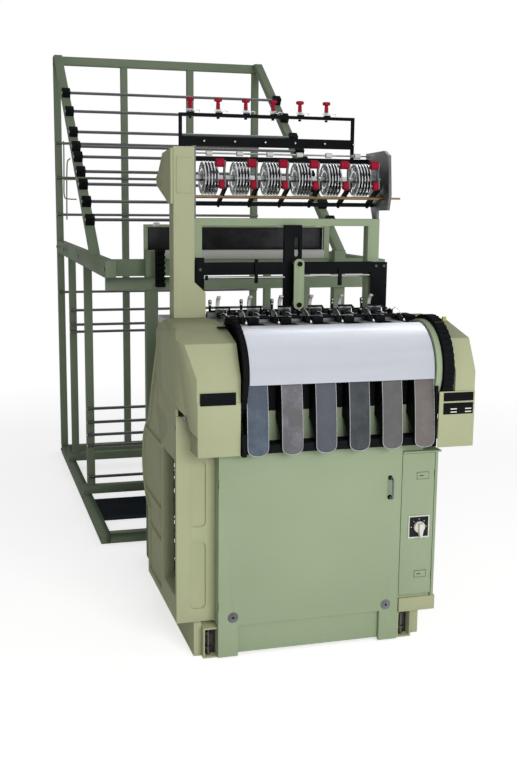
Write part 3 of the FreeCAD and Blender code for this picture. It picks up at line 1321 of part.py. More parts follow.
def rod_seats():
    """Y and Z of each rod along the sloped bars."""
    angle = math.atan(SLOPE)
    lift = BLOCK / 2
    return [(slope_y(z - lift * math.cos(angle)) - lift * math.sin(angle), z) for z in SLOPE_RODS]


def creel_blocks():
    """Clamp blocks on the sloped bars."""
    left, right = CREEL_X
    angle = math.degrees(math.atan(SLOPE))
    blocks = []
    for y, z in rod_seats():
        for start in (left, right - BAR):
            body = block(start, start + BAR, y - BLOCK / 2, y + BLOCK / 2, z - BLOCK / 2, z + BLOCK / 2)
            body.rotate(V(0, y, z), V(1, 0, 0), angle)
            blocks.append(body.cut(rod_x(start, start + BAR, y, z, ROD_R + FIT)))
    return Part.makeCompound(blocks)


def creel_rods():
    """Round rods for the yarn packages."""
    left, right = CREEL_X
    rods = [rod_x(left, right, y, z, ROD_R) for y, z in rod_seats()]
    rear = CREEL_Y[1] - REAR_POST - ROD_R
    rods += [rod_x(left, right, rear, z, ROD_R) for z in REAR_RODS]
    for row, heights in zip(POST_ROWS, ROW_RODS):
        y = row - POST_WIDE - ROD_R
        rods += [rod_x(left + POST_IN, right - POST_IN, y, z, ROD_R) for z in heights]
    return Part.makeCompound(rods)


def creel_grating():
    """Ribbed floor mat between the side rails."""
    left, right = CREEL_X[0] + BAR, CREEL_X[1] - BAR
    front, rear = GRATING_Y
    outline = [(front, 0), (rear, 0), (rear, GRATING_BASE)]
    step = (rear - front) / GRATING_RIBS
    for number in range(GRATING_RIBS):
        y = rear - step * number
        outline.append((y - step / 2, GRATING_HIGH))
        outline.append((y - step, GRATING_BASE))
    return plate(outline, "x", left, right)


def stop_motion():
    """Panel of drop wires above the creel's channel, with a frame on its top."""
    left, right = STOP_X
    low, shelf, high = STOP_Z
    front, rear = CHANNEL_Y
    foot = block(left, right, front + STOP_FRAME, rear, low, shelf)
    panel = block(left, right, front + STOP_FRAME, rear - STOP_FRAME, shelf, high)
    frame = block(left, right, front, rear, high - STOP_FRAME, high)
    return union([foot, panel, frame])


def guide_comb():
    """Toothed upright on the creel's portal that spreads the yarns."""
    left, right, front, low, high = COMB
    body = block(left, right, front, PORTAL_FRONT, low, high)
    pitch = (high - low) / (COMB_TEETH + 1)
    gaps = []
    for number in range(COMB_TEETH):
        z = low + pitch * (number + 1)
        gaps.append(block(left, right, front, (front + PORTAL_FRONT) / 2, z - pitch / 4, z + pitch / 4))
    return body.cut(gaps)


# ---------------------------------------------------------------- all parts

PARTS = {
    "side_frame_left": side_frame_left,
    "side_frame_right": side_frame_right,
    "window_guard": window_guard,
    "base_channels": base_channels,
    "cross_ties": cross_ties,
    "toe_plate": toe_plate,
    "front_surround": front_surround,
    "hinge_pins": hinge_pins,
    "front_panel": front_panel,
    "panel_handle": panel_handle,
    "panel_locks": panel_locks,
    "electrical_box": electrical_box,
    "electrical_door": electrical_door,
    "switch_plate": switch_plate,
    "switch_knob": switch_knob,
    "motor": motor,
    "motor_pulley": motor_pulley,
    "drive_belt": drive_belt,
    "main_shaft": main_shaft,
    "main_pulley": main_pulley,
    "head_bed": head_bed,
    "gear_cover_left": gear_cover_left,
    "gear_cover_right": gear_cover_right,
    "name_plates": name_plates,
    "take_off_hood": take_off_hood,
    "hood_ring": hood_ring,
    "roller_cheeks": roller_cheeks,
    "take_off_roller": take_off_roller,
    "handwheels": handwheels,
    "fabric_chutes": fabric_chutes,
    "chute_bar": chute_bar,
    "column": column,
    "belt_guard": belt_guard,
    "portal_frame": portal_frame,
    "harness_frame": harness_frame,
    "harness_link": harness_link,
    "end_plates": end_plates,
    "feed_shaft": feed_shaft,
    "feed_discs": feed_discs,
    "feeder_bars": feeder_bars,
    "feeder_screw": feeder_screw,
    "yarn_rod": yarn_rod,
    "tension_frame": tension_frame,
    "yarn_tensioners": yarn_tensioners,
    "sley": sley,
    "reeds": reeds,
    "weft_needles": weft_needles,
    "latch_needles": latch_needles,
    "thread_guides": thread_guides,
    "creel_frame": creel_frame,
    "creel_blocks": creel_blocks,
    "creel_rods": creel_rods,
    "creel_grating": creel_grating,
    "stop_motion": stop_motion,
}
for number, head_x in enumerate(HEAD_X, 1):
    PARTS["pressure_arm_" + str(number)] = lambda x=head_x: pressure_arm(x)

front_most = ROLLER_Y - WHEEL_R
origin = V(sum(CREEL_X) / 2, (front_most + CREEL_Y[1]) / 2, 0)
os.makedirs("parts", exist_ok=True)
for name, make in PARTS.items():
    shape = make()
    shape.translate(-origin)
    shape.exportStep("parts/" + name + ".step")
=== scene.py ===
"""Looks of a narrow-fabric needle loom and its creel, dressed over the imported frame."""

import json
import math

import bpy
from mathutils import Matrix, Vector


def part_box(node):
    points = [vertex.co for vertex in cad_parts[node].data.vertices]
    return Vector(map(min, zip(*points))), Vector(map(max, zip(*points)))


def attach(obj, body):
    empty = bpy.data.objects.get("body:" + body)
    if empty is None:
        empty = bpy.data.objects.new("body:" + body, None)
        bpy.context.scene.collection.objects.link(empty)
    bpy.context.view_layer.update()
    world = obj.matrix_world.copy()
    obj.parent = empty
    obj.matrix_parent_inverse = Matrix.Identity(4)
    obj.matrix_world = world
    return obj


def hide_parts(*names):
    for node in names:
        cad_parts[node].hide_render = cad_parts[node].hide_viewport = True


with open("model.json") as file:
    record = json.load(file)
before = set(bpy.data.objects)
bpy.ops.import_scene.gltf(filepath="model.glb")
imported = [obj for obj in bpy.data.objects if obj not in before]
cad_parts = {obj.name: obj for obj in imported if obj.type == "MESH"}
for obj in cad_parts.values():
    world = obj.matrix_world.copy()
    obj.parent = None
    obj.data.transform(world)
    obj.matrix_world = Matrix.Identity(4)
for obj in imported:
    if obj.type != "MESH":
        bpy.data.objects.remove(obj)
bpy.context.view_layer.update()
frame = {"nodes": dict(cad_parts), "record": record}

# ---------------------------------------------------------------- layout
# Places are given in millimetres from the middle of the loom (x), the front of its
# side frames (y) and the floor (z). The node of the left side frame says where that is.
MM = 0.001
FRAME_LEFT = -493.0
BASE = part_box("side_frame_left")[0]
ORIGIN = Vector((BASE.x - FRAME_LEFT * MM, BASE.y, 0.0))
HEADS = 6
HEAD_PITCH = 122.0
FIRST_HEAD = -237.0
HEAD_X = [FIRST_HEAD + HEAD_PITCH * number for number in range(HEADS)]
MACHINE = "machine"
TO_LEFT, TO_RIGHT = (-1, 0, 0), (1, 0, 0)
TO_FRONT, TO_REAR = (0, -1, 0), (0, 1, 0)
UP = (0, 0, 1)
HEXAGON = 6


def spot(x, y, z):
    return ORIGIN + Vector((x, y, z)) * MM


# ---------------------------------------------------------------- colours

def linear(level):
    level /= 255.0
    return level / 12.92 if level <= 0.04045 else ((level + 0.055) / 1.055) ** 2.4


def colour(red, green, blue):
    return (linear(red), linear(green), linear(blue), 1.0)


OLIVE = colour(182, 186, 151)
OLIVE_DEEP = colour(166, 170, 134)
SAGE = colour(163, 178, 147)
SAGE_DEEP = colour(148, 164, 133)
CREEL_GREEN = colour(143, 157, 133)
CREEL_DEEP = colour(112, 126, 102)
BLACK = colour(19, 20, 21)
BLACK_SOFT = colour(40, 42, 44)
RED = colour(168, 34, 58)
RED_DEEP = colour(110, 16, 34)
STEEL = colour(198, 200, 202)
STEEL_DARK = colour(96, 98, 100)
SILVER = colour(226, 229, 232)
CAST_GREY = colour(128, 130, 130)
CAST_DARK = colour(70, 72, 72)
BRASS = colour(150, 124, 90)
BRASS_DARK = colour(104, 82, 54)
IVORY = colour(232, 230, 224)
RUST = colour(120, 84, 66)
CHUTE_COLOURS = (
    (colour(66, 78, 92), colour(104, 118, 132)),
    (colour(92, 92, 95), colour(134, 128, 140)),
    (colour(74, 77, 86), colour(98, 102, 112)),
    (colour(42, 46, 50), colour(78, 84, 90)),
    (colour(88, 87, 87), colour(112, 110, 110)),
    (colour(104, 98, 95), colour(126, 118, 118)),
)


# ---------------------------------------------------------------- shader effects

def new_group(name, inputs, outputs):
    group = bpy.data.node_groups.new(name, "ShaderNodeTree")
    for label, kind, value in inputs:
        socket = group.interface.new_socket(label, in_out="INPUT", socket_type="NodeSocket" + kind)
        socket.default_value = value
    for label, kind in outputs:
        group.interface.new_socket(label, in_out="OUTPUT", socket_type="NodeSocket" + kind)
    start = group.nodes.new("NodeGroupInput")
    end = group.nodes.new("NodeGroupOutput")
    return group, start.outputs, end.inputs


def add(tree, kind, **settings):
    node = tree.nodes.new("ShaderNode" + kind)
    for key, value in settings.items():
        setattr(node, key, value)
    return node


def noise(tree, vector, scale, detail=3.0, rough=0.55):
    node = add(tree, "TexNoise")
    tree.links.new(vector, node.inputs["Vector"])
    node.inputs["Detail"].default_value = detail
    node.inputs["Roughness"].default_value = rough
    if isinstance(scale, float):
        node.inputs["Scale"].default_value = scale
    else:
        tree.links.new(scale, node.inputs["Scale"])
    return node.outputs["Fac"]


def spread(tree, value, low, high, to_low=0.0, to_high=1.0):
    node = add(tree, "MapRange")
    tree.links.new(value, node.inputs["Value"])
    node.inputs["From Min"].default_value = low
    node.inputs["From Max"].default_value = high
    for label, limit in (("To Min", to_low), ("To Max", to_high)):
        if isinstance(limit, float):
            node.inputs[label].default_value = limit
        else:
            tree.links.new(limit, node.inputs[label])
    return node.outputs["Result"]


def mixed(tree, factor, first, second):
    node = add(tree, "Mix", data_type="RGBA")
    tree.links.new(factor, node.inputs[0])
    tree.links.new(first, node.inputs[6])
    tree.links.new(second, node.inputs[7])
    return node.outputs[2]


def math_node(tree, operation, first, second):
    node = add(tree, "Math", operation=operation)
    for socket, value in zip(node.inputs, (first, second)):
        if isinstance(value, float):
            socket.default_value = value
        else:
            tree.links.new(value, socket)
    return node.outputs[0]


def stretched(tree, vector, scale):
    node = add(tree, "Mapping")
    tree.links.new(vector, node.inputs["Vector"])
    node.inputs["Scale"].default_value = scale
    return node.outputs["Vector"]


def enamel_effect():
    """Brushed-on enamel: slow change of tone, darker towards the floor, fine orange peel."""
    group, given, out = new_group(
        "enamel",
        [("Vector", "Vector", (0, 0, 0)), ("Colour", "Color", OLIVE), ("Deep", "Color", OLIVE_DEEP),
         ("Gloss", "Float", 0.3)],
        [("Colour", "Color"), ("Roughness", "Float"), ("Height", "Float")])
    slow = noise(group, given["Vector"], 2.6, 4.0)
    fine = noise(group, given["Vector"], 46.0, 3.0)
    peel = noise(group, given["Vector"], 420.0, 2.0)
    height = add(group, "SeparateXYZ")
    group.links.new(given["Vector"], height.inputs[0])
    low = spread(group, height.outputs["Z"], 0.0, 0.34, 0.42, 0.0)
    tone = spread(group, slow, 0.3, 0.75, 0.0, 0.5)
    speck = spread(group, fine, 0.68, 0.8, 0.0, 0.12)
    dirt = math_node(group, "MULTIPLY", low, fine)
    factor = math_node(group, "ADD", math_node(group, "ADD", tone, speck), dirt)
    group.links.new(mixed(group, factor, given["Colour"], given["Deep"]), out["Colour"])
    rough = math_node(group, "ADD", given["Gloss"], spread(group, fine, 0.3, 0.8, -0.03, 0.06))
    group.links.new(rough, out["Roughness"])
    group.links.new(peel, out["Height"])
    return group


def metal_effect():
    """Worked metal: streaks along one direction with darker stains between them."""
    group, given, out = new_group(
        "worked_metal",
        [("Vector", "Vector", (0, 0, 0)), ("Streaks", "Vector", (0, 0, 0)), ("Colour", "Color", STEEL),
         ("Stain", "Color", STEEL_DARK), ("Amount", "Float", 0.4), ("Gloss", "Float", 0.3)],
        [("Colour", "Color"), ("Roughness", "Float"), ("Height", "Float")])
    lines = noise(group, given["Streaks"], 90.0, 4.0, 0.65)
    stain = noise(group, given["Vector"], 16.0, 4.0)
    amount = math_node(group, "MULTIPLY", spread(group, stain, 0.35, 0.75), given["Amount"])
    group.links.new(mixed(group, amount, given["Colour"], given["Stain"]), out["Colour"])
    rough = math_node(group, "ADD", given["Gloss"], spread(group, lines, 0.3, 0.7, -0.08, 0.14))
    group.links.new(rough, out["Roughness"])
    group.links.new(lines, out["Height"])
    return group


def scuff_effect():
    """Rubbed paint: cloudy pale patches and short scratches where tapes slide."""
    group, given, out = new_group(
        "scuffed_paint",
        [("Vector", "Vector", (0, 0, 0)), ("Colour", "Color", BLACK), ("Rubbed", "Color", STEEL_DARK),
         ("Amount", "Float", 0.5)],
        [("Colour", "Color"), ("Roughness", "Float"), ("Height", "Float")])
    cloud = noise(group, given["Vector"], 13.0, 6.0, 0.62)
    scratch = noise(group, stretched(group, given["Vector"], (1.0, 1.0, 0.16)), 150.0, 3.0)
    patches = spread(group, cloud, 0.42, 0.68)
    lines = spread(group, scratch, 0.6, 0.72)
    factor = math_node(group, "MULTIPLY", math_node(group, "ADD", patches,
                                                    math_node(group, "MULTIPLY", lines, 0.6)),
                       given["Amount"])
    group.links.new(mixed(group, factor, given["Colour"], given["Rubbed"]), out["Colour"])
    group.links.new(spread(group, cloud, 0.3, 0.7, 0.3, 0.5), out["Roughness"])
    group.links.new(scratch, out["Height"])
    return group


ENAMEL = enamel_effect()
WORKED_METAL = metal_effect()
SCUFFED = scuff_effect()


def finish(name, effect, values, bump=0.02, streaks=None, metallic=0.0, coat=0.0, specular=0.5):
    """A material whose look comes from one shader effect."""
    material = bpy.data.materials.new(name)
    material.use_nodes = True
    tree = material.node_tree
    shader = tree.nodes["Principled BSDF"]
    place = add(tree, "TexCoord").outputs["Object"]
    look = add(tree, "Group")
    look.node_tree = effect
    tree.links.new(place, look.inputs["Vector"])
    if streaks:
        tree.links.new(stretched(tree, place, streaks), look.inputs["Streaks"])
    for label, value in values.items():
        look.inputs[label].default_value = value
    tree.links.new(look.outputs["Colour"], shader.inputs["Base Color"])
    tree.links.new(look.outputs["Roughness"], shader.inputs["Roughness"])
    relief = add(tree, "Bump")
    relief.inputs["Strength"].default_value = bump
    relief.inputs["Distance"].default_value = 0.001
    tree.links.new(look.outputs["Height"], relief.inputs["Height"])
    tree.links.new(relief.outputs["Normal"], shader.inputs["Normal"])
    shader.inputs["Metallic"].default_value = metallic
    shader.inputs["Specular IOR Level"].default_value = specular
    shader.inputs["Coat Weight"].default_value = coat
    shader.inputs["Coat Roughness"].default_value = 0.12
    return material


def enamel(name, base, deep, gloss=0.3, bump=0.02, coat=0.08, specular=0.0):
    values = {"Colour": base, "Deep": deep, "Gloss": gloss}
    return finish(name, ENAMEL, values, bump, coat=coat, specular=specular)


def metal(name, base, stain, gloss, amount=0.4, streaks=(0.04, 1, 1), bump=0.05):
    values = {"Colour": base, "Stain": stain, "Gloss": gloss, "Amount": amount}
    return finish(name, WORKED_METAL, values, bump, streaks, metallic=1.0)


def scuffed(name, base, rubbed, amount):
    return finish(name, SCUFFED, {"Colour": base, "Rubbed": rubbed, "Amount": amount}, 0.08, coat=0.1)


LOOKS = {
    "olive_paint": enamel("olive_enamel", OLIVE, OLIVE_DEEP, 0.36),
    "green_paint": enamel("sage_enamel", SAGE, SAGE_DEEP, 0.38),
    "creel_paint": enamel("creel_enamel", CREEL_GREEN, CREEL_DEEP, 0.4),
    "black_paint": enamel("black_enamel", BLACK, BLACK_SOFT, 0.4, 0.06, 0.05),
    "black_plastic": enamel("black_moulding", BLACK, BLACK_SOFT, 0.46, 0.12, 0.05),
    "switch_black": enamel("switch_face", BLACK, BLACK_SOFT, 0.3, 0.03, 0.0, 0.18),
    "white_plastic": enamel("ivory_moulding", IVORY, colour(206, 202, 190), 0.3, 0.03),
    "red_plastic": enamel("red_moulding", RED, RED_DEEP, 0.3, 0.05),
    "belt_rubber": enamel("belt_rubber", BLACK, BLACK_SOFT, 0.7, 0.3, 0.0, 0.2),
    "bright_steel": metal("bright_steel", STEEL, STEEL_DARK, 0.24),
    "dark_steel": metal("dark_steel", STEEL_DARK, RUST, 0.42, 0.55),
    "chrome": metal("chrome", SILVER, STEEL, 0.1, 0.3, bump=0.01),
    "alu": metal("turned_aluminium", STEEL, CAST_GREY, 0.3, 0.6, (1, 0.2, 0.2)),
    "iron": metal("machined_iron", CAST_GREY, CAST_DARK, 0.45, 0.5),
    "brass": metal("drawn_brass", BRASS, BRASS_DARK, 0.3, 0.5),
    "hood_sheet": metal("polished_sheet", colour(208, 211, 219), colour(200, 203, 211), 0.42, 0.3,
                        (0.02, 0.4, 0.4), 0.0),
    "mat_rubber": enamel("mat_rubber", colour(46, 52, 60), colour(74, 80, 86), 0.6, 0.2, 0.0),
    "rod_steel": enamel("rod_steel", colour(66, 68, 69), colour(44, 46, 47), 0.22, 0.02, 0.3, 0.9),
    "drop_wires": metal("drop_wires", colour(66, 66, 68), colour(38, 39, 40), 0.4, 0.7, (1, 1, 0.03)),
    "panel_cover": enamel("panel_cover", colour(206, 207, 203), colour(176, 178, 175), 0.36, 0.03, 0.1),
    "disc_grey": metal("disc_grey", colour(104, 106, 104), colour(66, 68, 67), 0.34, 0.6, (1, 0.2, 0.2)),
    "tag": enamel("signal_tag", colour(196, 200, 92), colour(150, 156, 60), 0.4),
    "sley_steel": metal("pale_steel", colour(206, 208, 206), STEEL_DARK, 0.34, 0.3),
    "cast_grey": metal("cast_aluminium", CAST_GREY, CAST_DARK, 0.4, 0.5, (1, 1, 1), 0.3),
}


# ---------------------------------------------------------------- modelling

BEVEL_ANGLE = math.radians(35)
SMOOTH_ANGLE = math.radians(32)
WIRE_SMOOTH_ANGLE = math.radians(40)
FLAT_ANGLE = math.radians(0.3)
MERGE_DISTANCE = 0.00001
SLOT_OF = {row["node"]: row["material_slot"] for row in frame["record"]["subparts"]}


def choose_none():
    bpy.ops.object.select_all(action="DESELECT")


def choose(*objects):
    choose_none()
    for obj in objects:
        obj.select_set(True)
    bpy.context.view_layer.objects.active = objects[0]


def settle(piece):
    """Puts a piece's place and turn into its mesh."""
    choose(piece)
    bpy.ops.object.transform_apply(location=True, rotation=True, scale=True)
    return piece


def rounded_edges(piece, width, segments=2):
    bevel = piece.modifiers.new("edges", "BEVEL")
    bevel.width = width * MM
    bevel.segments = segments
    bevel.limit_method = "ANGLE"
    bevel.angle_limit = BEVEL_ANGLE
    bevel.use_clamp_overlap = True
    choose(piece)
    bpy.ops.object.modifier_apply(modifier=bevel.name)
    bpy.ops.object.shade_smooth_by_angle(angle=SMOOTH_ANGLE)


def hand_over(piece, name, body, look, stands_for=()):
    """Names a finished piece, gives it its look and lets it ride on its body."""
    piece.name = name
    piece.data.name = name
    piece.data.materials.clear()
    piece.data.materials.append(LOOKS[look] if isinstance(look, str) else look)
    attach(piece, body)
    if stands_for:
        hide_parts(*stands_for)


def copy_of(node, name):
    """A clean copy of a CAD piece's mesh: its doubles merged, its flat faces whole."""
    mesh = frame["nodes"][node].data.copy()
    piece = bpy.data.objects.new(name, mesh)
    bpy.context.collection.objects.link(piece)
    choose(piece)
    if mesh.has_custom_normals:
        bpy.ops.mesh.customdata_custom_splitnormals_clear()
    bpy.ops.object.mode_set(mode="EDIT")
    bpy.ops.mesh.select_all(action="SELECT")
    bpy.ops.mesh.remove_doubles(threshold=MERGE_DISTANCE)
    bpy.ops.mesh.dissolve_limited(angle_limit=FLAT_ANGLE)
    bpy.ops.object.mode_set(mode="OBJECT")
    return piece


def body_of(node):
    for body, nodes in frame["record"]["behaviour"]["bodies"].items():
        if node in nodes:
            return body
    return MACHINE


def dress(node, width, look):
    """Rounds the edges of a CAD piece's copy, which then stands in place of the plain one."""
    piece = copy_of(node, node + "_body")
    rounded_edges(piece, width)
    hand_over(piece, node + "_body", body_of(node), look, (node,))


def box_piece(low, high, width=0.6, segments=2):
    """A block between two corners, its edges rounded."""
    low, high = spot(*low), spot(*high)
    choose_none()
    bpy.ops.mesh.primitive_cube_add(size=1.0, location=(low + high) / 2)
    piece = bpy.context.object
    piece.scale = high - low
    settle(piece)
    rounded_edges(piece, width, segments)
    return piece


def turned(profile, centre, axis, steps=32, hollow=False):
    """A solid of revolution. profile is a list of (distance along axis, radius)."""
    choose_none()
    (along, radius), *rest = profile
    bpy.ops.mesh.primitive_circle_add(vertices=steps, radius=radius * MM, location=(0, 0, along * MM),
                                      fill_type="NOTHING" if hollow else "NGON")
    piece = settle(bpy.context.object)
    bpy.ops.object.mode_set(mode="EDIT")
    bpy.ops.mesh.select_all(action="SELECT")
    for place, width in rest:
        bpy.ops.mesh.extrude_region_move(TRANSFORM_OT_translate={"value": (0, 0, (place - along) * MM)})
        bpy.ops.transform.resize(value=(width / radius, width / radius, 1))
        along, radius = place, width
    bpy.ops.mesh.select_all(action="SELECT")
    if hollow:
        bpy.ops.mesh.select_non_manifold(extend=False)
        bpy.ops.mesh.bridge_edge_loops()
        bpy.ops.mesh.select_all(action="SELECT")
    bpy.ops.mesh.normals_make_consistent(inside=False)
    bpy.ops.object.mode_set(mode="OBJECT")
    turn = Vector(axis).to_track_quat("Z", "Y").to_matrix().to_4x4()
    piece.matrix_world = Matrix.Translation(spot(*centre)) @ turn
    settle(piece)
    bpy.ops.object.shade_smooth_by_angle(angle=SMOOTH_ANGLE)
    return piece


def bolt_heads(profile, places, axis):
    """Hexagonal heads of one profile at several places."""
    return [turned(profile, place, axis, HEXAGON) for place in places]


def wire(points, radius):
    """A round wire along points given in millimetres."""
    curve = bpy.data.curves.new("wire", "CURVE")
    curve.dimensions = "3D"
    curve.bevel_depth = radius * MM
    curve.bevel_resolution = 2
    curve.use_fill_caps = True
    line = curve.splines.new("NURBS")
    line.points.add(len(points) - 1)
    for point, place in zip(line.points, points):
        point.co = (*spot(*place), 1.0)
    line.order_u = 3
    line.use_endpoint_u = True
    line.resolution_u = 6
    holder = bpy.data.objects.new("wire", curve)
    bpy.context.collection.objects.link(holder)
    choose(holder)
    bpy.ops.object.convert(target="MESH")
    piece = bpy.context.object
    bpy.ops.object.shade_smooth_by_angle(angle=WIRE_SMOOTH_ANGLE)
    return piece


def joined(pieces):
    choose(*pieces)
    bpy.ops.object.join()
    return bpy.context.object


def outline_plate(points, axis, start, end, width=0.8, segments=2):
    """A flat plate of an outline (two millimetre values a point) across axis x, y or z."""
    along = "xyz".index(axis)
    choose_none()
    bpy.ops.mesh.primitive_circle_add(vertices=len(points), fill_type="NGON")
    piece = bpy.context.object
    for vertex, point in zip(piece.data.vertices, points):
        place = list(point)
        place.insert(along, start)
        vertex.co = spot(*place)
    step = [0.0, 0.0, 0.0]
    step[along] = (end - start) * MM
    bpy.ops.object.mode_set(mode="EDIT")
    bpy.ops.mesh.select_all(action="SELECT")
    bpy.ops.mesh.extrude_region_move(TRANSFORM_OT_translate={"value": step})
    bpy.ops.mesh.select_all(action="SELECT")
    bpy.ops.mesh.normals_make_consistent(inside=False)
    bpy.ops.object.mode_set(mode="OBJECT")
    rounded_edges(piece, width, segments)
    return piece


def copies_at(piece, shifts):
    """Copies of a piece, each with its own mesh, moved along X and joined; the first one goes."""
    twins = []
    for shift in shifts:
        twin = bpy.data.objects.new(piece.name, piece.data.copy())
        bpy.context.collection.objects.link(twin)
        twin.location = (shift * MM, 0, 0)
        twins.append(settle(twin))
    bpy.data.objects.remove(piece)
    return joined(twins)


def arc(centre, radius, start, end, steps):
    """Points of an arc, angles in degrees."""
    turns = [math.radians(start + (end - start) * step / steps) for step in range(steps + 1)]
    return [(centre[0] + radius * math.cos(turn), centre[1] + radius * math.sin(turn)) for turn in turns]


# ---------------------------------------------------------------- castings, covers and sheets

EDGES = {
    "side_frame_left": 4.0, "side_frame_right": 3.0, "base_channels": 1.5, "cross_ties": 1.5,
    "toe_plate": 0.8, "front_surround": 0.8, "front_panel": 1.2, "electrical_box": 1.2,
    "electrical_door": 1.0, "head_bed": 1.2, "gear_cover_left": 1.4, "gear_cover_right": 1.4,
    "column": 3.5, "belt_guard": 1.0, "portal_frame": 1.5, "harness_frame": 1.2, "harness_link": 1.2,
    "end_plates": 1.2, "roller_cheeks": 0.8, "hood_ring": 1.5, "chute_bar": 0.8, "tension_frame": 0.8,
    "feeder_bars": 0.8, "creel_frame": 1.2, "creel_blocks": 2.0, "stop_motion": 0.8, "name_plates": 0.3,
    "switch_plate": 0.5, "sley": 1.0,
}
SPECIAL_LOOKS = {
    "take_off_hood": "hood_sheet", "feed_discs": "disc_grey", "panel_handle": "iron",
    "panel_locks": "iron", "creel_grating": "mat_rubber", "creel_rods": "rod_steel",
    "stop_motion": "drop_wires", "fabric_chutes": "black_paint", "end_plates": "cast_grey",
}


def look_of(node):
    return SPECIAL_LOOKS.get(node, SLOT_OF[node])


def castings_and_sheets():
    for node, width in EDGES.items():
        dress(node, width, look_of(node))


def plain_nodes():
    """Nodes whose CAD shape stays: they only get their finish."""
    for node in SLOT_OF:
        obj = frame["nodes"][node]
        if not obj.hide_render:
            obj.data.materials.clear()
            obj.data.materials.append(LOOKS[look_of(node)])


# ---------------------------------------------------------------- tape chutes

CHUTE_HALF = 36.5
CHUTE_TOP = 1000.0
CHUTE_BOTTOM = 742.0
CHUTE_FACE = ((-99.0, CHUTE_TOP), (-119.0, 872.0), (-128.0, CHUTE_BOTTOM))
CHUTE_END_RISE = 24.0
CHUTE_RUBBED = (0.5, 0.75, 0.35, 0.6, 0.45, 0.55)
CHUTE_BEVEL = 1.0
CHUTE_WIRE_R = 1.3
CHUTE_STEPS = 13
CHUTE_STEP = 19.0
CHUTE_END_SHARES = (0.94, 0.8, 0.5, 0.0, -0.5, -0.8, -0.94)
END_STRIP_LEFT = ((-291.0, -124.0, CHUTE_BOTTOM), (-275.0, -60.0, 820.0))
END_STRIP_RIGHT = ((410.5, -124.0, CHUTE_BOTTOM), (420.5, -60.0, 960.0))


def chute_face(z):
    """Distance Y of a chute's face at height z: a curve through three points."""
    total = 0.0
    for y, own in CHUTE_FACE:
        share = 1.0
        for _, other in CHUTE_FACE:
            if other != own:
                share *= (z - other) / (own - other)
        total += y * share
    return total


def chute_edge(middle):
    """Rolled wire down one side of a chute, round its lower end and up the other side."""
    low = CHUTE_BOTTOM + CHUTE_END_RISE
    sides = [CHUTE_TOP - 2 - CHUTE_STEP * step for step in range(CHUTE_STEPS)]
    path = [(middle - CHUTE_HALF, z) for z in sides]
    path += [(middle - CHUTE_HALF * share, low - CHUTE_END_RISE * math.sqrt(1 - share * share) + 1)
             for share in CHUTE_END_SHARES]
    path += [(middle + CHUTE_HALF, z) for z in reversed(sides)]
    return wire([(x, chute_face(z) - 0.5, z) for x, z in path], CHUTE_WIRE_R)


def chutes():
    """Folded tape guides: rubbed paint in front, dark side walls, bright rolled edges."""
    whole = copy_of("fabric_chutes", "fabric_chutes_body")
    choose(whole)
    bpy.ops.object.mode_set(mode="EDIT")
    bpy.ops.mesh.separate(type="LOOSE")
    bpy.ops.object.mode_set(mode="OBJECT")
    shells = sorted(bpy.context.selected_objects, key=lambda shell: shell.bound_box[0][0])
    rows = zip(shells, CHUTE_COLOURS, CHUTE_RUBBED, HEAD_X)
    for number, (shell, (base, rubbed), amount, middle) in enumerate(rows, 1):
        rounded_edges(shell, CHUTE_BEVEL)
        look = scuffed("chute_paint_%d" % number, base, rubbed, amount)
        hand_over(shell, "chute_%d" % number, MACHINE, look, ("fabric_chutes",))
        shell.data.materials.append(LOOKS["black_paint"])
        for face in shell.data.polygons:
            if abs(face.normal.x) > 0.7 or face.normal.y > 0.3:
                face.material_index = 1
        hand_over(chute_edge(middle), "chute_edges_%d" % number, MACHINE, "bright_steel")
    ends = [box_piece(*END_STRIP_LEFT, 0.8), box_piece(*END_STRIP_RIGHT, 0.8)]
    hand_over(joined(ends), "chute_end_strips", MACHINE, "black_paint")


# ---------------------------------------------------------------- front door and electrical box

DOOR_FACE = -57.0
LOCKS = ((-303.0, 149.0), (274.0, 141.0))
HANDLE_X = 277.0
HANDLE_ENDS = (548.0, 620.0)
LOCK_RING = [(0, 12.4), (0, 19.5), (1.4, 18.6), (1.9, 16.0), (1.4, 12.6)]
LOCK_SOCKET = [(0, 4.2), (0.5, 4.2), (0.8, 3.4)]
LOCK_DEPTH = 2.9
FERRULE = [(0, 8.5), (1.5, 8.5), (3.5, 7.0), (3.5, 4.6)]
HINGE_MARKS = ((382.0, 427.0, 608.0, 632.0), (384.0, 429.0, 236.0, 260.0))


def door_fittings():
    """Collars and sockets of the turn fasteners, and the ends of the handle."""
    rings = []
    dots = []
    for x, z in LOCKS:
        rings.append(turned(LOCK_RING, (x, DOOR_FACE, z), TO_FRONT, 40, True))
        dots.append(turned(LOCK_SOCKET, (x, DOOR_FACE - LOCK_DEPTH, z), TO_FRONT, 16))
    hand_over(joined(rings), "lock_rings", "door", "iron")
    hand_over(joined(dots), "lock_sockets", "door", "black_paint")
    ends = [turned(FERRULE, (HANDLE_X, DOOR_FACE, z), TO_FRONT, 24) for z in HANDLE_ENDS]
    hand_over(joined(ends), "handle_ferrules", "door", "black_plastic")


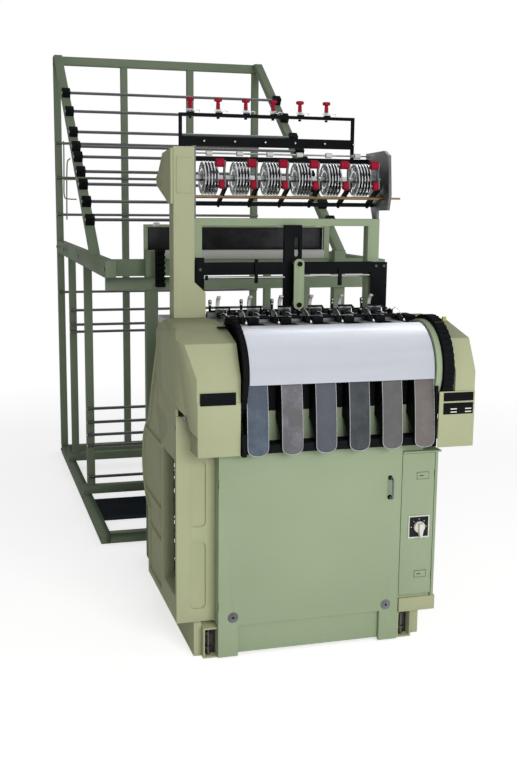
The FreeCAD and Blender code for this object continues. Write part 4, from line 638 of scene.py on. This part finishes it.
def hinge_marks():
    """Pressed hinge plates on the narrow door, each with a painted shadow line round its edges, a slot and a
    slanted rib.
    """
    plates = []
    slots_and_painted_shadows = []
    face = DOOR_FACE
    for left, right, low, high in HINGE_MARKS:
        # Painted shadow: a black plate 1.4 mm larger than each hinge plate lies just behind it, so a dark
        # line shows round the plate's edges.
        slots_and_painted_shadows.append(box_piece((left - 1.4, face - 0.3, low - 1.4), (right + 1.4, face, high + 1.4), 0.1))
        plates.append(box_piece((left, face - 1.0, low), (right, face, high), 0.4))
        rib = ((left + 14, high + 2), (right - 14, high + 7), (right - 4, high + 10))
        plates.append(wire([(x, face - 0.2, z) for x, z in rib], 0.8))
        middle = (low + high) / 2
        slots_and_painted_shadows.append(box_piece((left + 9, face - 1.3, middle - 1.6), (left + 24, face - 0.9, middle + 1.6),
                               0.2))
    hand_over(joined(plates), "hinge_plates", "box_door", "green_paint")
    # The black slots and the painted shadow lines are one piece.
    hand_over(joined(slots_and_painted_shadows), "hinge_slots_and_painted_shadows", "box_door", "black_paint")


SWITCH_PLATE = (353.0, 436.0, 387.0, 471.0)
SWITCH_FACE = -59.5
KNOB = (394.5, 429.0)
KNOB_R = 20.0
KNOB_RIBS = 16
BORDER = 4.5
STRIP_BEVEL = 0.2
DIAL_MARKS = (0, 45, 90, 135, 180, 270)
DIAL_R = 29.0


def dial_strips():
    """Pale border of the square dial, and its short marks."""
    left, right, low, high = SWITCH_PLATE
    face = SWITCH_FACE
    fields = ((left, right, low, low + BORDER), (left, right, high - BORDER, high),
              (left, left + BORDER, low + BORDER, high - BORDER),
              (right - BORDER, right, low + BORDER, high - BORDER))
    strips = [box_piece((start, face - 0.5, foot), (end, face, top), STRIP_BEVEL)
              for start, end, foot, top in fields]
    for degrees in DIAL_MARKS:
        x = KNOB[0] + DIAL_R * math.cos(math.radians(degrees))
        z = KNOB[1] + DIAL_R * math.sin(math.radians(degrees))
        strips.append(box_piece((x - 2.2, face - 0.4, z - 1.1), (x + 2.2, face, z + 1.1), STRIP_BEVEL))
    return strips


def switch():
    """Square dial, and a ribbed knob with a long pointer."""
    hand_over(joined(dial_strips()), "switch_border", "box_door", "white_plastic")
    x, z = KNOB
    start = SWITCH_FACE - 0.4
    disc = turned([(0, KNOB_R), (3, KNOB_R + 1), (9, KNOB_R), (12, KNOB_R - 3), (13, KNOB_R - 6)],
                  (x, start, z), TO_FRONT, 48)
    tip = [(x - 9, z + 16), (x + 9, z + 16), (x + 8, z - 14), (x + 3, z - 36), (x - 3, z - 36),
           (x - 8, z - 14)]
    grip = outline_plate(tip, "y", start - 26, start - 9, 2.4, 3)
    ribs = []
    for step in range(KNOB_RIBS):
        turn = 2 * math.pi * step / KNOB_RIBS
        place = (x + KNOB_R * math.cos(turn), start - 1, z + KNOB_R * math.sin(turn))
        ribs.append(turned([(0, 2.0), (9, 2.0), (10, 1.2)], place, TO_FRONT, 8))
    stem = turned([(0, 5), (7, 5)], (x, start + 6, z), TO_FRONT, 16)
    hand_over(joined([disc, grip, stem] + ribs), "switch_handle", "switch", "white_plastic",
              stands_for=("switch_knob",))
    hinge_marks()


# ---------------------------------------------------------------- plates, plugs and feet

RATING_PLATE = (437.0, 552.0, 858.0, 899.0)
RIGHT_COVER_FACE = -134.2


def plates_and_plugs():
    """Blank fields on the rating plate, domed nuts on the left casting, a signal tag."""
    left, right, low, high = RATING_PLATE
    face = RIGHT_COVER_FACE
    fields = [box_piece((left + 28 + 56 * column, face - 0.3, low + 6 + 11 * row),
                        (left + 52 + 56 * column, face, low + 10 + 11 * row), 0.1)
              for row in range(2) for column in range(2)]
    hand_over(joined(fields), "rating_fields", MACHINE, "white_plastic")
    dome = [(0, 8), (2, 8), (2.2, 6.5), (5, 6), (7, 4), (7.8, 1.5)]
    nuts = [turned(dome, (-470, -50, 872), (-1, 0, -0.25), 24), turned(dome, (-493, 14, 828), TO_LEFT, 24)]
    hand_over(joined(nuts), "domed_nuts", MACHINE, "iron")
    tag = box_piece((528, 84, 1163), (542, 96, 1178), 1.5, 3)
    hand_over(tag, "signal_tag", MACHINE, "tag")


TUBES = ((-406.0, -350.0), (329.0, 385.0))


def feet():
    """Levelling screws inside the open ends of the foot tubes."""
    screws = []
    for left, right in TUBES:
        middle = (left + right) / 2
        screws.append(turned([(0, 7), (96, 7)], (middle - 6, -22, 8), UP, 16))
        for low in (30, 84):
            screws.append(turned([(0, 13), (1, 14), (9, 14), (10, 13)], (middle - 6, -22, low), UP, 6))
        screws.append(box_piece((left + 8, -10, 7), (right - 8, -6, 104), 0.8))
    hand_over(joined(screws), "levelling_screws", MACHINE, "dark_steel")


# ---------------------------------------------------------------- weaving heads

BED_TOP = 1158.0
RAIL_TOP = 1180.0
HEAD_WIRES = (
    (1.3, ((36, 290, 1184), (40, 270, 1200), (44, 240, 1194), (46, 206, 1166), (40, 176, 1162))),
    (1.1, ((-34, 286, 1178), (-30, 262, 1190), (-22, 246, 1188), (-16, 238, 1180))),
    (1.0, ((10, 322, 1184), (2, 300, 1198), (-10, 282, 1192), (-14, 262, 1178))),
)


def head_bracket(x):
    """Black bracket over the latch bar with its cover and side block."""
    foot = box_piece((x - 24, 234, BED_TOP), (x + 24, 242, 1180), 1.0)
    cover = box_piece((x - 24, 206, 1169), (x + 24, 242, 1179), 1.6)
    nose = outline_plate([(196, BED_TOP), (212, BED_TOP), (212, 1180), (202, 1176)], "x", x + 26, x + 40, 1.2)
    guide = box_piece((x - 38, 282, 1166), (x - 30, 318, 1180), 1.2)
    bridge = box_piece((x - 38, 306, 1176), (x + 30, 318, 1185), 1.2)
    post = box_piece((x + 30, 282, BED_TOP), (x + 40, 318, 1188), 1.2)
    lever = outline_plate([(300, 1182), (316, 1185), (324, 1196), (320, 1202), (312, 1195), (300, 1191)],
                          "x", x + 8, x + 14, 0.8)
    arm = outline_plate([(150, BED_TOP), (206, BED_TOP), (206, 1176), (190, 1176), (162, 1164)],
                        "x", x + 18, x + 30, 1.2)
    cheek = box_piece((x + 44, 170, BED_TOP), (x + 84, 258, 1178), 1.6)
    return [foot, cover, nose, guide, bridge, post, lever, arm, cheek]


def head_wires(x):
    """Bright springs, needle shanks and screws of one head."""
    parts = [turned([(0, 6), (3, 6), (6, 4), (9, 2)], (x + 34, 166, BED_TOP), (0, -0.3, 1), 16)]
    parts += bolt_heads([(0, 3.4), (3, 3.4)], [(x - 14, 224, 1179), (x + 14, 224, 1179)], UP)
    parts += bolt_heads([(0, 4.4), (4, 4.4), (5, 3)], [(x + 35, 300, 1188)], UP)
    for radius, path in HEAD_WIRES:
        parts.append(wire([(x + across, y, z) for across, y, z in path], radius))
    return parts


def eyelet_plate(x):
    """Upright black link with two ceramic eyes."""
    stem = [(x - 4.5, 1182), (x + 4.5, 1182), (x + 4.5, 1196)]
    outline = stem + arc((x, 1218), 6.5, 0, 180, 10) + [(x - 4.5, 1196)]
    plate = outline_plate(outline, "y", 406, 412, 0.8)
    ring = [(0, 1.4), (0, 3.4), (2.2, 3.4), (2.2, 1.4)]
    eyes = [turned(ring, (x, 406, z), TO_FRONT, 14, True) for z in (1206.0, 1218.0)]
    return plate, eyes


def finger(x):
    """Pale hooked strip behind a reed."""
    outline = [(400, 1180), (408, 1180), (408, 1212), (400, 1228), (386, 1240), (376, 1238), (374, 1232),
               (384, 1230), (394, 1220), (400, 1206)]
    return outline_plate(outline, "x", x + 1, x + 14, 1.0)


def weaving_heads():
    """One head is modelled at the loom's middle and copied to its six places."""
    plate, rings = eyelet_plate(-41)
    brackets = joined(head_bracket(0) + [plate])
    hand_over(copies_at(brackets, HEAD_X), "head_brackets", MACHINE, "black_paint")
    hand_over(copies_at(joined(head_wires(0)), HEAD_X), "head_springs", MACHINE, "chrome")
    hand_over(copies_at(joined(rings), HEAD_X), "ceramic_eyes", MACHINE, "white_plastic")
    hand_over(copies_at(finger(-20), HEAD_X), "yarn_fingers", MACHINE, "panel_cover",
              ("thread_guides",))
    cap = box_piece((-28.5, 368.5, 1194), (28.5, 377.5, 1201), 0.8)
    hand_over(copies_at(cap, HEAD_X), "reed_caps", "sley_unit", "black_paint")
    cover = outline_plate([(-30, 60), (-30, 150), (-22, 160), (22, 160), (30, 150), (30, 60)],
                          "z", BED_TOP, BED_TOP + 2, 0.8)
    hand_over(copies_at(cover, [x - 61 for x in HEAD_X]), "shelf_covers", MACHINE, "black_plastic")
    comb = copy_of("thread_guides", "guide_comb_body")
    drop_all_but_rearmost(comb)
    rounded_edges(comb, 0.6)
    hand_over(comb, "guide_comb_body", MACHINE, "black_paint")
    rail = [box_piece((-286, 391.5, RAIL_TOP - 1), (436, 397.7, RAIL_TOP + 6), 1.0),
            box_piece((-250, 244, BED_TOP), (430, 262, 1176), 1.4)]
    hand_over(joined(rail), "rail_strip", MACHINE, "black_paint")


def drop_all_but_rearmost(piece):
    """Keeps only the part of a mesh that lies behind the loom."""
    limit = spot(0, 700, 0).y
    choose(piece)
    bpy.ops.object.mode_set(mode="EDIT")
    bpy.ops.mesh.select_all(action="DESELECT")
    bpy.ops.object.mode_set(mode="OBJECT")
    for vertex in piece.data.vertices:
        vertex.select = vertex.co.y < limit
    bpy.ops.object.mode_set(mode="EDIT")
    bpy.ops.mesh.delete(type="VERT")
    bpy.ops.object.mode_set(mode="OBJECT")


# ---------------------------------------------------------------- yarn feeder

FEED = (500.0, 1676.0)
DISC_SHIFT = -26.0
DISCS = 5
DISC_STEP = 12.0
DISC_THICK = 3.0
ARM_PIVOT = (400.0, 1652.0)
ARM_LONG = 78.0
YARN_ROD = (600.0, 1772.0)
RIM = [(0, 59.0), (0, 62.4), (1.0, 63.2), (3.2, 63.2), (4.2, 62.4), (4.2, 59.0)]
HUB = [(0.6, 29.0), (-0.6, 33.0), (-0.6, 36.0), (4.8, 36.0), (4.8, 33.0), (3.6, 29.0)]
ROLLER = [(0, 11), (0.5, 15), (2, 16), (9, 16), (10, 15.2), (11, 16), (20, 16), (21, 15.2), (22, 16),
          (29, 16), (31, 15), (32, 12)]
LEVER_KNOB = [(0, 16), (4, 17.4), (13, 17), (19, 14), (21, 9)]
LEVER_SCREW = [(0, 4.4), (2.0, 4.4), (2.6, 3.2)]
PLATE_BOLTS = ((586, 1760), (440, 1760), (590, 1640), (470, 1590), (505, 1545))


def disc_rims():
    """Bright rolled rims on the thin feed discs, and the bright hub sleeve of each set."""
    rim = turned(RIM, (0, *FEED), TO_RIGHT, 64, True)
    hub = turned(HUB, (0, *FEED), TO_RIGHT, 40, True)
    start = DISC_SHIFT - (DISC_STEP * (DISCS - 1) + DISC_THICK) / 2 - 0.6
    places = [x + start + DISC_STEP * disc for x in HEAD_X for disc in range(DISCS)]
    hand_over(copies_at(joined([rim, hub]), places), "disc_rims", "feeder", "chrome")


def pressure_lever(x):
    """S-shaped cast lever from the stud up to its roller."""
    y, z = ARM_PIVOT
    top = z + ARM_LONG
    front = [(y - 13, z - 10), (y - 12, z + 8), (y - 4, z + 26), (y + 3, z + 42), (y + 1, z + 58),
             (y - 8, z + 74)]
    rear = [(y + 4, top + 9), (y + 12, top - 4), (y + 16, z + 54), (y + 17, z + 38), (y + 12, z + 20),
            (y + 12, z - 2), (y + 6, z - 14), (y - 6, z - 16)]
    return outline_plate(front + [(y - 8, top + 6)] + rear, "x", x + 9, x + 16, 1.6, 3)


def feeder():
    disc_rims()
    y, z = ARM_PIVOT
    top = z + ARM_LONG
    for number, x in enumerate(HEAD_X, 1):
        body = "arm_%d" % number
        node = "pressure_arm_%d" % number
        edge = x + 9.0
        hand_over(pressure_lever(x), "lever_%d" % number, body, "iron", (node,))
        hand_over(turned(ROLLER, (edge - 0.3, y, top), TO_LEFT, 40), "lever_roller_%d" % number, body,
                  "red_plastic")
        hand_over(turned(LEVER_KNOB, (edge - 0.3, y, z), TO_LEFT, 28), "lever_knob_%d" % number, body,
                  "red_plastic")
        screws = [turned([(0, 5), (2.5, 5), (3, 4)], (edge - 21.2, y, z), TO_LEFT, 12),
                  turned(LEVER_SCREW, (edge - 32.2, y, top), TO_LEFT, 12),
                  turned(LEVER_SCREW, (x + 16, y - 1, z + 26), TO_RIGHT, HEXAGON)]
        hand_over(joined(screws), "lever_screws_%d" % number, body, "chrome")
    rod = turned([(0, 3.4), (734, 3.4)], (-312, *YARN_ROD), TO_RIGHT, 16)
    hand_over(rod, "yarn_rod_core", MACHINE, "bright_steel")
    collar = turned([(0, 6), (1, 10), (25, 10), (26, 6)], (-13, *YARN_ROD), TO_RIGHT, 24)
    hand_over(copies_at(collar, HEAD_X), "yarn_rod_collars", MACHINE, "white_plastic",
              stands_for=("yarn_rod",))
    bolts = bolt_heads([(0, 6.5), (4, 6.5), (5, 5.5)], [(427, y, z) for y, z in PLATE_BOLTS], TO_RIGHT)
    hand_over(joined(bolts), "end_plate_bolts", MACHINE, "bright_steel")


# ---------------------------------------------------------------- tensioners and harness

TENSION_TOP = 1921.0
TENSION_Y = 600.0
TENSIONER_X = [-312.0 + 110.0 * number for number in range(HEADS)]
TENSION_KNOB = [(0, 6), (2, 8.5), (5, 8.5), (7, 6.6), (9, 8.2), (12, 8.2), (14, 6.4), (17, 8), (20, 8),
                (22, 6.6), (27, 7), (29, 14), (32, 15.5), (38, 15.5), (41, 12)]
TENSION_DISC = [(0, 4), (0.5, 13), (1.8, 15.5), (2.4, 15.5), (1.4, 12.5), (1.2, 4)]
TENSION_HOOK = ((6, 598, 3), (18, 596, 6), (26, 594, 14), (32, 594, 8), (38, 596, 14), (36, 600, 4))
HARNESS_BOLTS = ((-312, 1336), (395, 1345), (428, 1345), (400, 1180), (430, 1180), (35, 1180), (74, 1180))
HARNESS_CLAMPS = (((-101, 1284), (-89, 1374), 1.2), ((236, 1272), (250, 1336), 1.2),
                  ((-294, 1297), (-284, 1314), 1.0), ((368, 1302), (380, 1320), 1.0))


def tensioners():
    """Red knobs on ribbed necks over two bright discs, with a hooked wire beside each."""
    reds = []
    brights = []
    blacks = []
    base = TENSION_TOP
    for x in TENSIONER_X:
        reds.append(turned(TENSION_KNOB, (x, TENSION_Y, base + 16), UP, 24))
        for low in (7, 12):
            brights.append(turned(TENSION_DISC, (x, TENSION_Y, base + low), UP, 28))
        brights.append(turned([(0, 3), (16, 3)], (x, TENSION_Y, base), UP, 12))
        brights.append(wire([(x + across, y, base + up) for across, y, up in TENSION_HOOK], 1.3))
        blacks.append(box_piece((x - 9, 592, base), (x + 16, 608, base + 5), 0.8))
        blacks += bolt_heads([(0, 6), (6, 6), (7, 5)], [(x, TENSION_Y, base - 20)], UP)
    hand_over(joined(reds), "tension_knobs", MACHINE, "red_plastic", stands_for=("yarn_tensioners",))
    hand_over(joined(brights), "tension_discs", MACHINE, "chrome")
    hand_over(joined(blacks), "tension_feet", MACHINE, "black_paint")
    eyes = [turned([(0, 2.6), (2, 3.8), (5, 3.8), (7, 2.6)], (x + DISC_SHIFT, 577, 1816), TO_FRONT, 14)
            for x in HEAD_X]
    hand_over(joined(eyes), "hook_eyes", MACHINE, "white_plastic")


def harness_fittings():
    """Bright rods under the black beam, their clamps, and bolt heads."""
    rods = [wire([(-300, 419, 1305), (-140, 419, 1305), (18, 419, 1305)], 3.6),
            wire([(89, 419, 1310), (240, 419, 1310), (381, 419, 1310)], 3.6)]
    bolts = bolt_heads([(0, 6.5), (4, 6.5), (5, 5.2)], [(x, 424, z) for x, z in HARNESS_BOLTS], TO_FRONT)
    hand_over(joined(rods), "harness_rods", MACHINE, "chrome")
    hand_over(joined(bolts), "harness_bolts", MACHINE, "dark_steel")
    clamps = [box_piece((left, 412, low), (right, 423.8, high), bevel)
              for (left, low), (right, high), bevel in HARNESS_CLAMPS]
    for x, z in ((60, 1359), (60, 1204)):
        clamps.append(turned([(0, 9.5), (2, 9.5), (3, 8), (3, 4), (1, 3)], (x, 358, z), TO_FRONT, 24))
    hand_over(joined(clamps), "harness_clamps", MACHINE, "black_paint")


# ---------------------------------------------------------------- creel

CREEL_BOLT = [(0, 8), (5, 8), (6, 6.5)]
CREEL_SIDES = ((-584.0, TO_LEFT), (686.0, TO_RIGHT))
CREEL_SIDE_BOLTS = ((1326, 24), (2030, 24), (3165, 24), (1049, 1300), (2030, 1300), (3160, 1300),
                    (2770, 1300))
CREEL_TOP_BOLTS = (-560, -137, 283, 664)
CREEL_LOOPS = (
    ((-550, 3126, 1913), (-540, 3128, 1913), (-534, 3130, 1940), (-538, 3130, 1700),
     (-541, 3130, 1596), (-520, 3130, 1586), (-464, 3130, 1586)),
    ((-497, 3122, 1828), (-512, 3122, 1822), (-519, 3122, 1800), (-524, 3122, 1640),
     (-526, 3122, 1463)),
    ((-544, 3126, 1704), (-470, 3126, 1704)),
)
CREEL_LOOP_R = 4.0
STOP = (-397.0, 416.0)
STOP_TAGS = (-352, -82, 190, 380)


def creel_fittings():
    """Bolt heads at the creel's joints, wire loops at its rear and the stop-motion panel's parts."""
    bolts = []
    for x, outward in CREEL_SIDES:
        bolts += bolt_heads(CREEL_BOLT, [(x, y, z) for y, z in CREEL_SIDE_BOLTS], outward)
    bolts += bolt_heads(CREEL_BOLT, [(x, 3188, 2398) for x in CREEL_TOP_BOLTS], TO_REAR)
    hand_over(joined(bolts), "creel_bolts", MACHINE, "dark_steel")
    loops = [wire(path, CREEL_LOOP_R) for path in CREEL_LOOPS]
    hand_over(joined(loops), "creel_wire_loops", MACHINE, "creel_paint")
    stop_motion_fittings()


def stop_motion_fittings():
    """Pale frame, tags and rounded lower cover of the panel of drop wires."""
    left, right = STOP
    borders = [box_piece((left - 10, 1100, 1475), (right, 1110, 1487), 1.5),
               box_piece((left - 10, 1100, 1337), (left + 8, 1110, 1475), 1.5),
               box_piece((right, 1100, 1337), (right + 26, 1122, 1487), 1.5)]
    hand_over(joined(borders), "stop_motion_frame", MACHINE, "green_paint")
    tag = outline_plate([(-14, 1478), (-14, 1493), (-9, 1496), (9, 1496), (14, 1493), (14, 1478)],
                        "y", 1095, 1100, 0.8)
    hand_over(copies_at(tag, STOP_TAGS), "stop_motion_tags", MACHINE, "sley_steel")
    cover = outline_plate([(1110, 1337), (1110, 1377), (1100, 1376), (1093, 1370), (1090, 1360),
                           (1092, 1346), (1099, 1337)], "x", left + 8, right, 1.0)
    hand_over(cover, "stop_motion_cover", MACHINE, "panel_cover")


# ---------------------------------------------------------------- the photograph's camera, light and floor

FILM = (517, 768)
SENSOR = 36.0
FOCAL_PIXELS = 1059.7
CAMERA_PLACE = spot(-1201.2, -3468.6, 1600.0)
CAMERA_YAW = 16.07
CAMERA_PITCH = 9.91
CAMERA_ROLL = 0.594
SKY = 0.3
FLOOR_LIFT = 0.62
FLOOR_FADE = (2.4, 4.2)


def camera():
    data = bpy.data.cameras.new("camera")
    data.sensor_width = SENSOR
    data.lens = SENSOR * FOCAL_PIXELS / max(FILM)
    eye = bpy.data.objects.new("camera", data)
    bpy.context.collection.objects.link(eye)
    turn = (Matrix.Rotation(math.radians(-CAMERA_YAW), 4, "Z")
            @ Matrix.Rotation(math.radians(90.0 - CAMERA_PITCH), 4, "X")
            @ Matrix.Rotation(math.radians(CAMERA_ROLL), 4, "Z"))
    eye.matrix_world = Matrix.Translation(CAMERA_PLACE) @ turn
    bpy.context.scene.camera = eye


def softbox(name, place, target, size, power, only_in_mirrors=False):
    data = bpy.data.lights.new(name, "AREA")
    data.shape = "RECTANGLE"
    data.size, data.size_y = size
    data.energy = power
    lamp = bpy.data.objects.new(name, data)
    bpy.context.collection.objects.link(lamp)
    lamp.location = place
    lamp.rotation_mode = "QUATERNION"
    lamp.rotation_quaternion = (Vector(target) - Vector(place)).to_track_quat("-Z", "Y")
    lamp.visible_glossy = only_in_mirrors
    lamp.visible_diffuse = not only_in_mirrors


def seen_directly(tree):
    """1 where the camera, a mirror or glass looks, 0 where light is gathered."""
    path = add(tree, "LightPath")
    mirrors = math_node(tree, "MAXIMUM", path.outputs["Is Glossy Ray"], path.outputs["Is Transmission Ray"])
    return math_node(tree, "MAXIMUM", path.outputs["Is Camera Ray"], mirrors)


def world_light():
    world = bpy.data.worlds.new("studio")
    bpy.context.scene.world = world
    world.use_nodes = True
    tree = world.node_tree
    sky = tree.nodes["Background"]
    sky.inputs["Color"].default_value = (1, 1, 1, 1)
    tree.links.new(spread(tree, seen_directly(tree), 0.0, 1.0, SKY, 1.0), sky.inputs["Strength"])


def floor():
    """A pale floor that keeps the object's shadow and fades into the white behind it."""
    choose_none()
    bpy.ops.mesh.primitive_plane_add(size=40.0, location=(0, 0, -0.0005))
    ground = bpy.context.object
    ground.name = "floor"
    material = bpy.data.materials.new("pale_floor")
    material.use_nodes = True
    tree = material.node_tree
    shader = tree.nodes["Principled BSDF"]
    shader.inputs["Base Color"].default_value = (0.85, 0.85, 0.85, 1)
    shader.inputs["Roughness"].default_value = 0.9
    shader.inputs["Specular IOR Level"].default_value = 0.0
    shader.inputs["Emission Color"].default_value = (1, 1, 1, 1)
    seen = seen_directly(tree)
    tree.links.new(math_node(tree, "MULTIPLY", seen, FLOOR_LIFT), shader.inputs["Emission Strength"])
    away = add(tree, "VectorMath", operation="LENGTH")
    tree.links.new(add(tree, "TexCoord").outputs["Object"], away.inputs[0])
    fade = spread(tree, away.outputs["Value"], *FLOOR_FADE)
    white = add(tree, "Emission")
    blend = add(tree, "MixShader")
    tree.links.new(math_node(tree, "MULTIPLY", seen, fade), blend.inputs[0])
    tree.links.new(shader.outputs[0], blend.inputs[1])
    tree.links.new(white.outputs[0], blend.inputs[2])
    tree.links.new(blend.outputs[0], tree.nodes["Material Output"].inputs["Surface"])
    ground.data.materials.append(material)


def studio():
    camera()
    world_light()
    floor()
    softbox("key", (0.5, -6.7, 2.1), (0.0, -1.2, 0.9), (3.4, 2.4), 190)
    softbox("back", (2.4, 4.8, 4.8), (0.0, 0.6, 1.2), (3.0, 2.0), 14)
    softbox("sheen", (1.6, 0.9, 4.7), (0.0, -1.5, 1.1), (3.0, 0.8), 26, True)


studio()
castings_and_sheets()
chutes()
door_fittings()
switch()
plates_and_plugs()
feet()
weaving_heads()
feeder()
tensioners()
harness_fittings()
creel_fittings()
plain_nodes()

bpy.context.scene.view_settings.view_transform = "Standard"
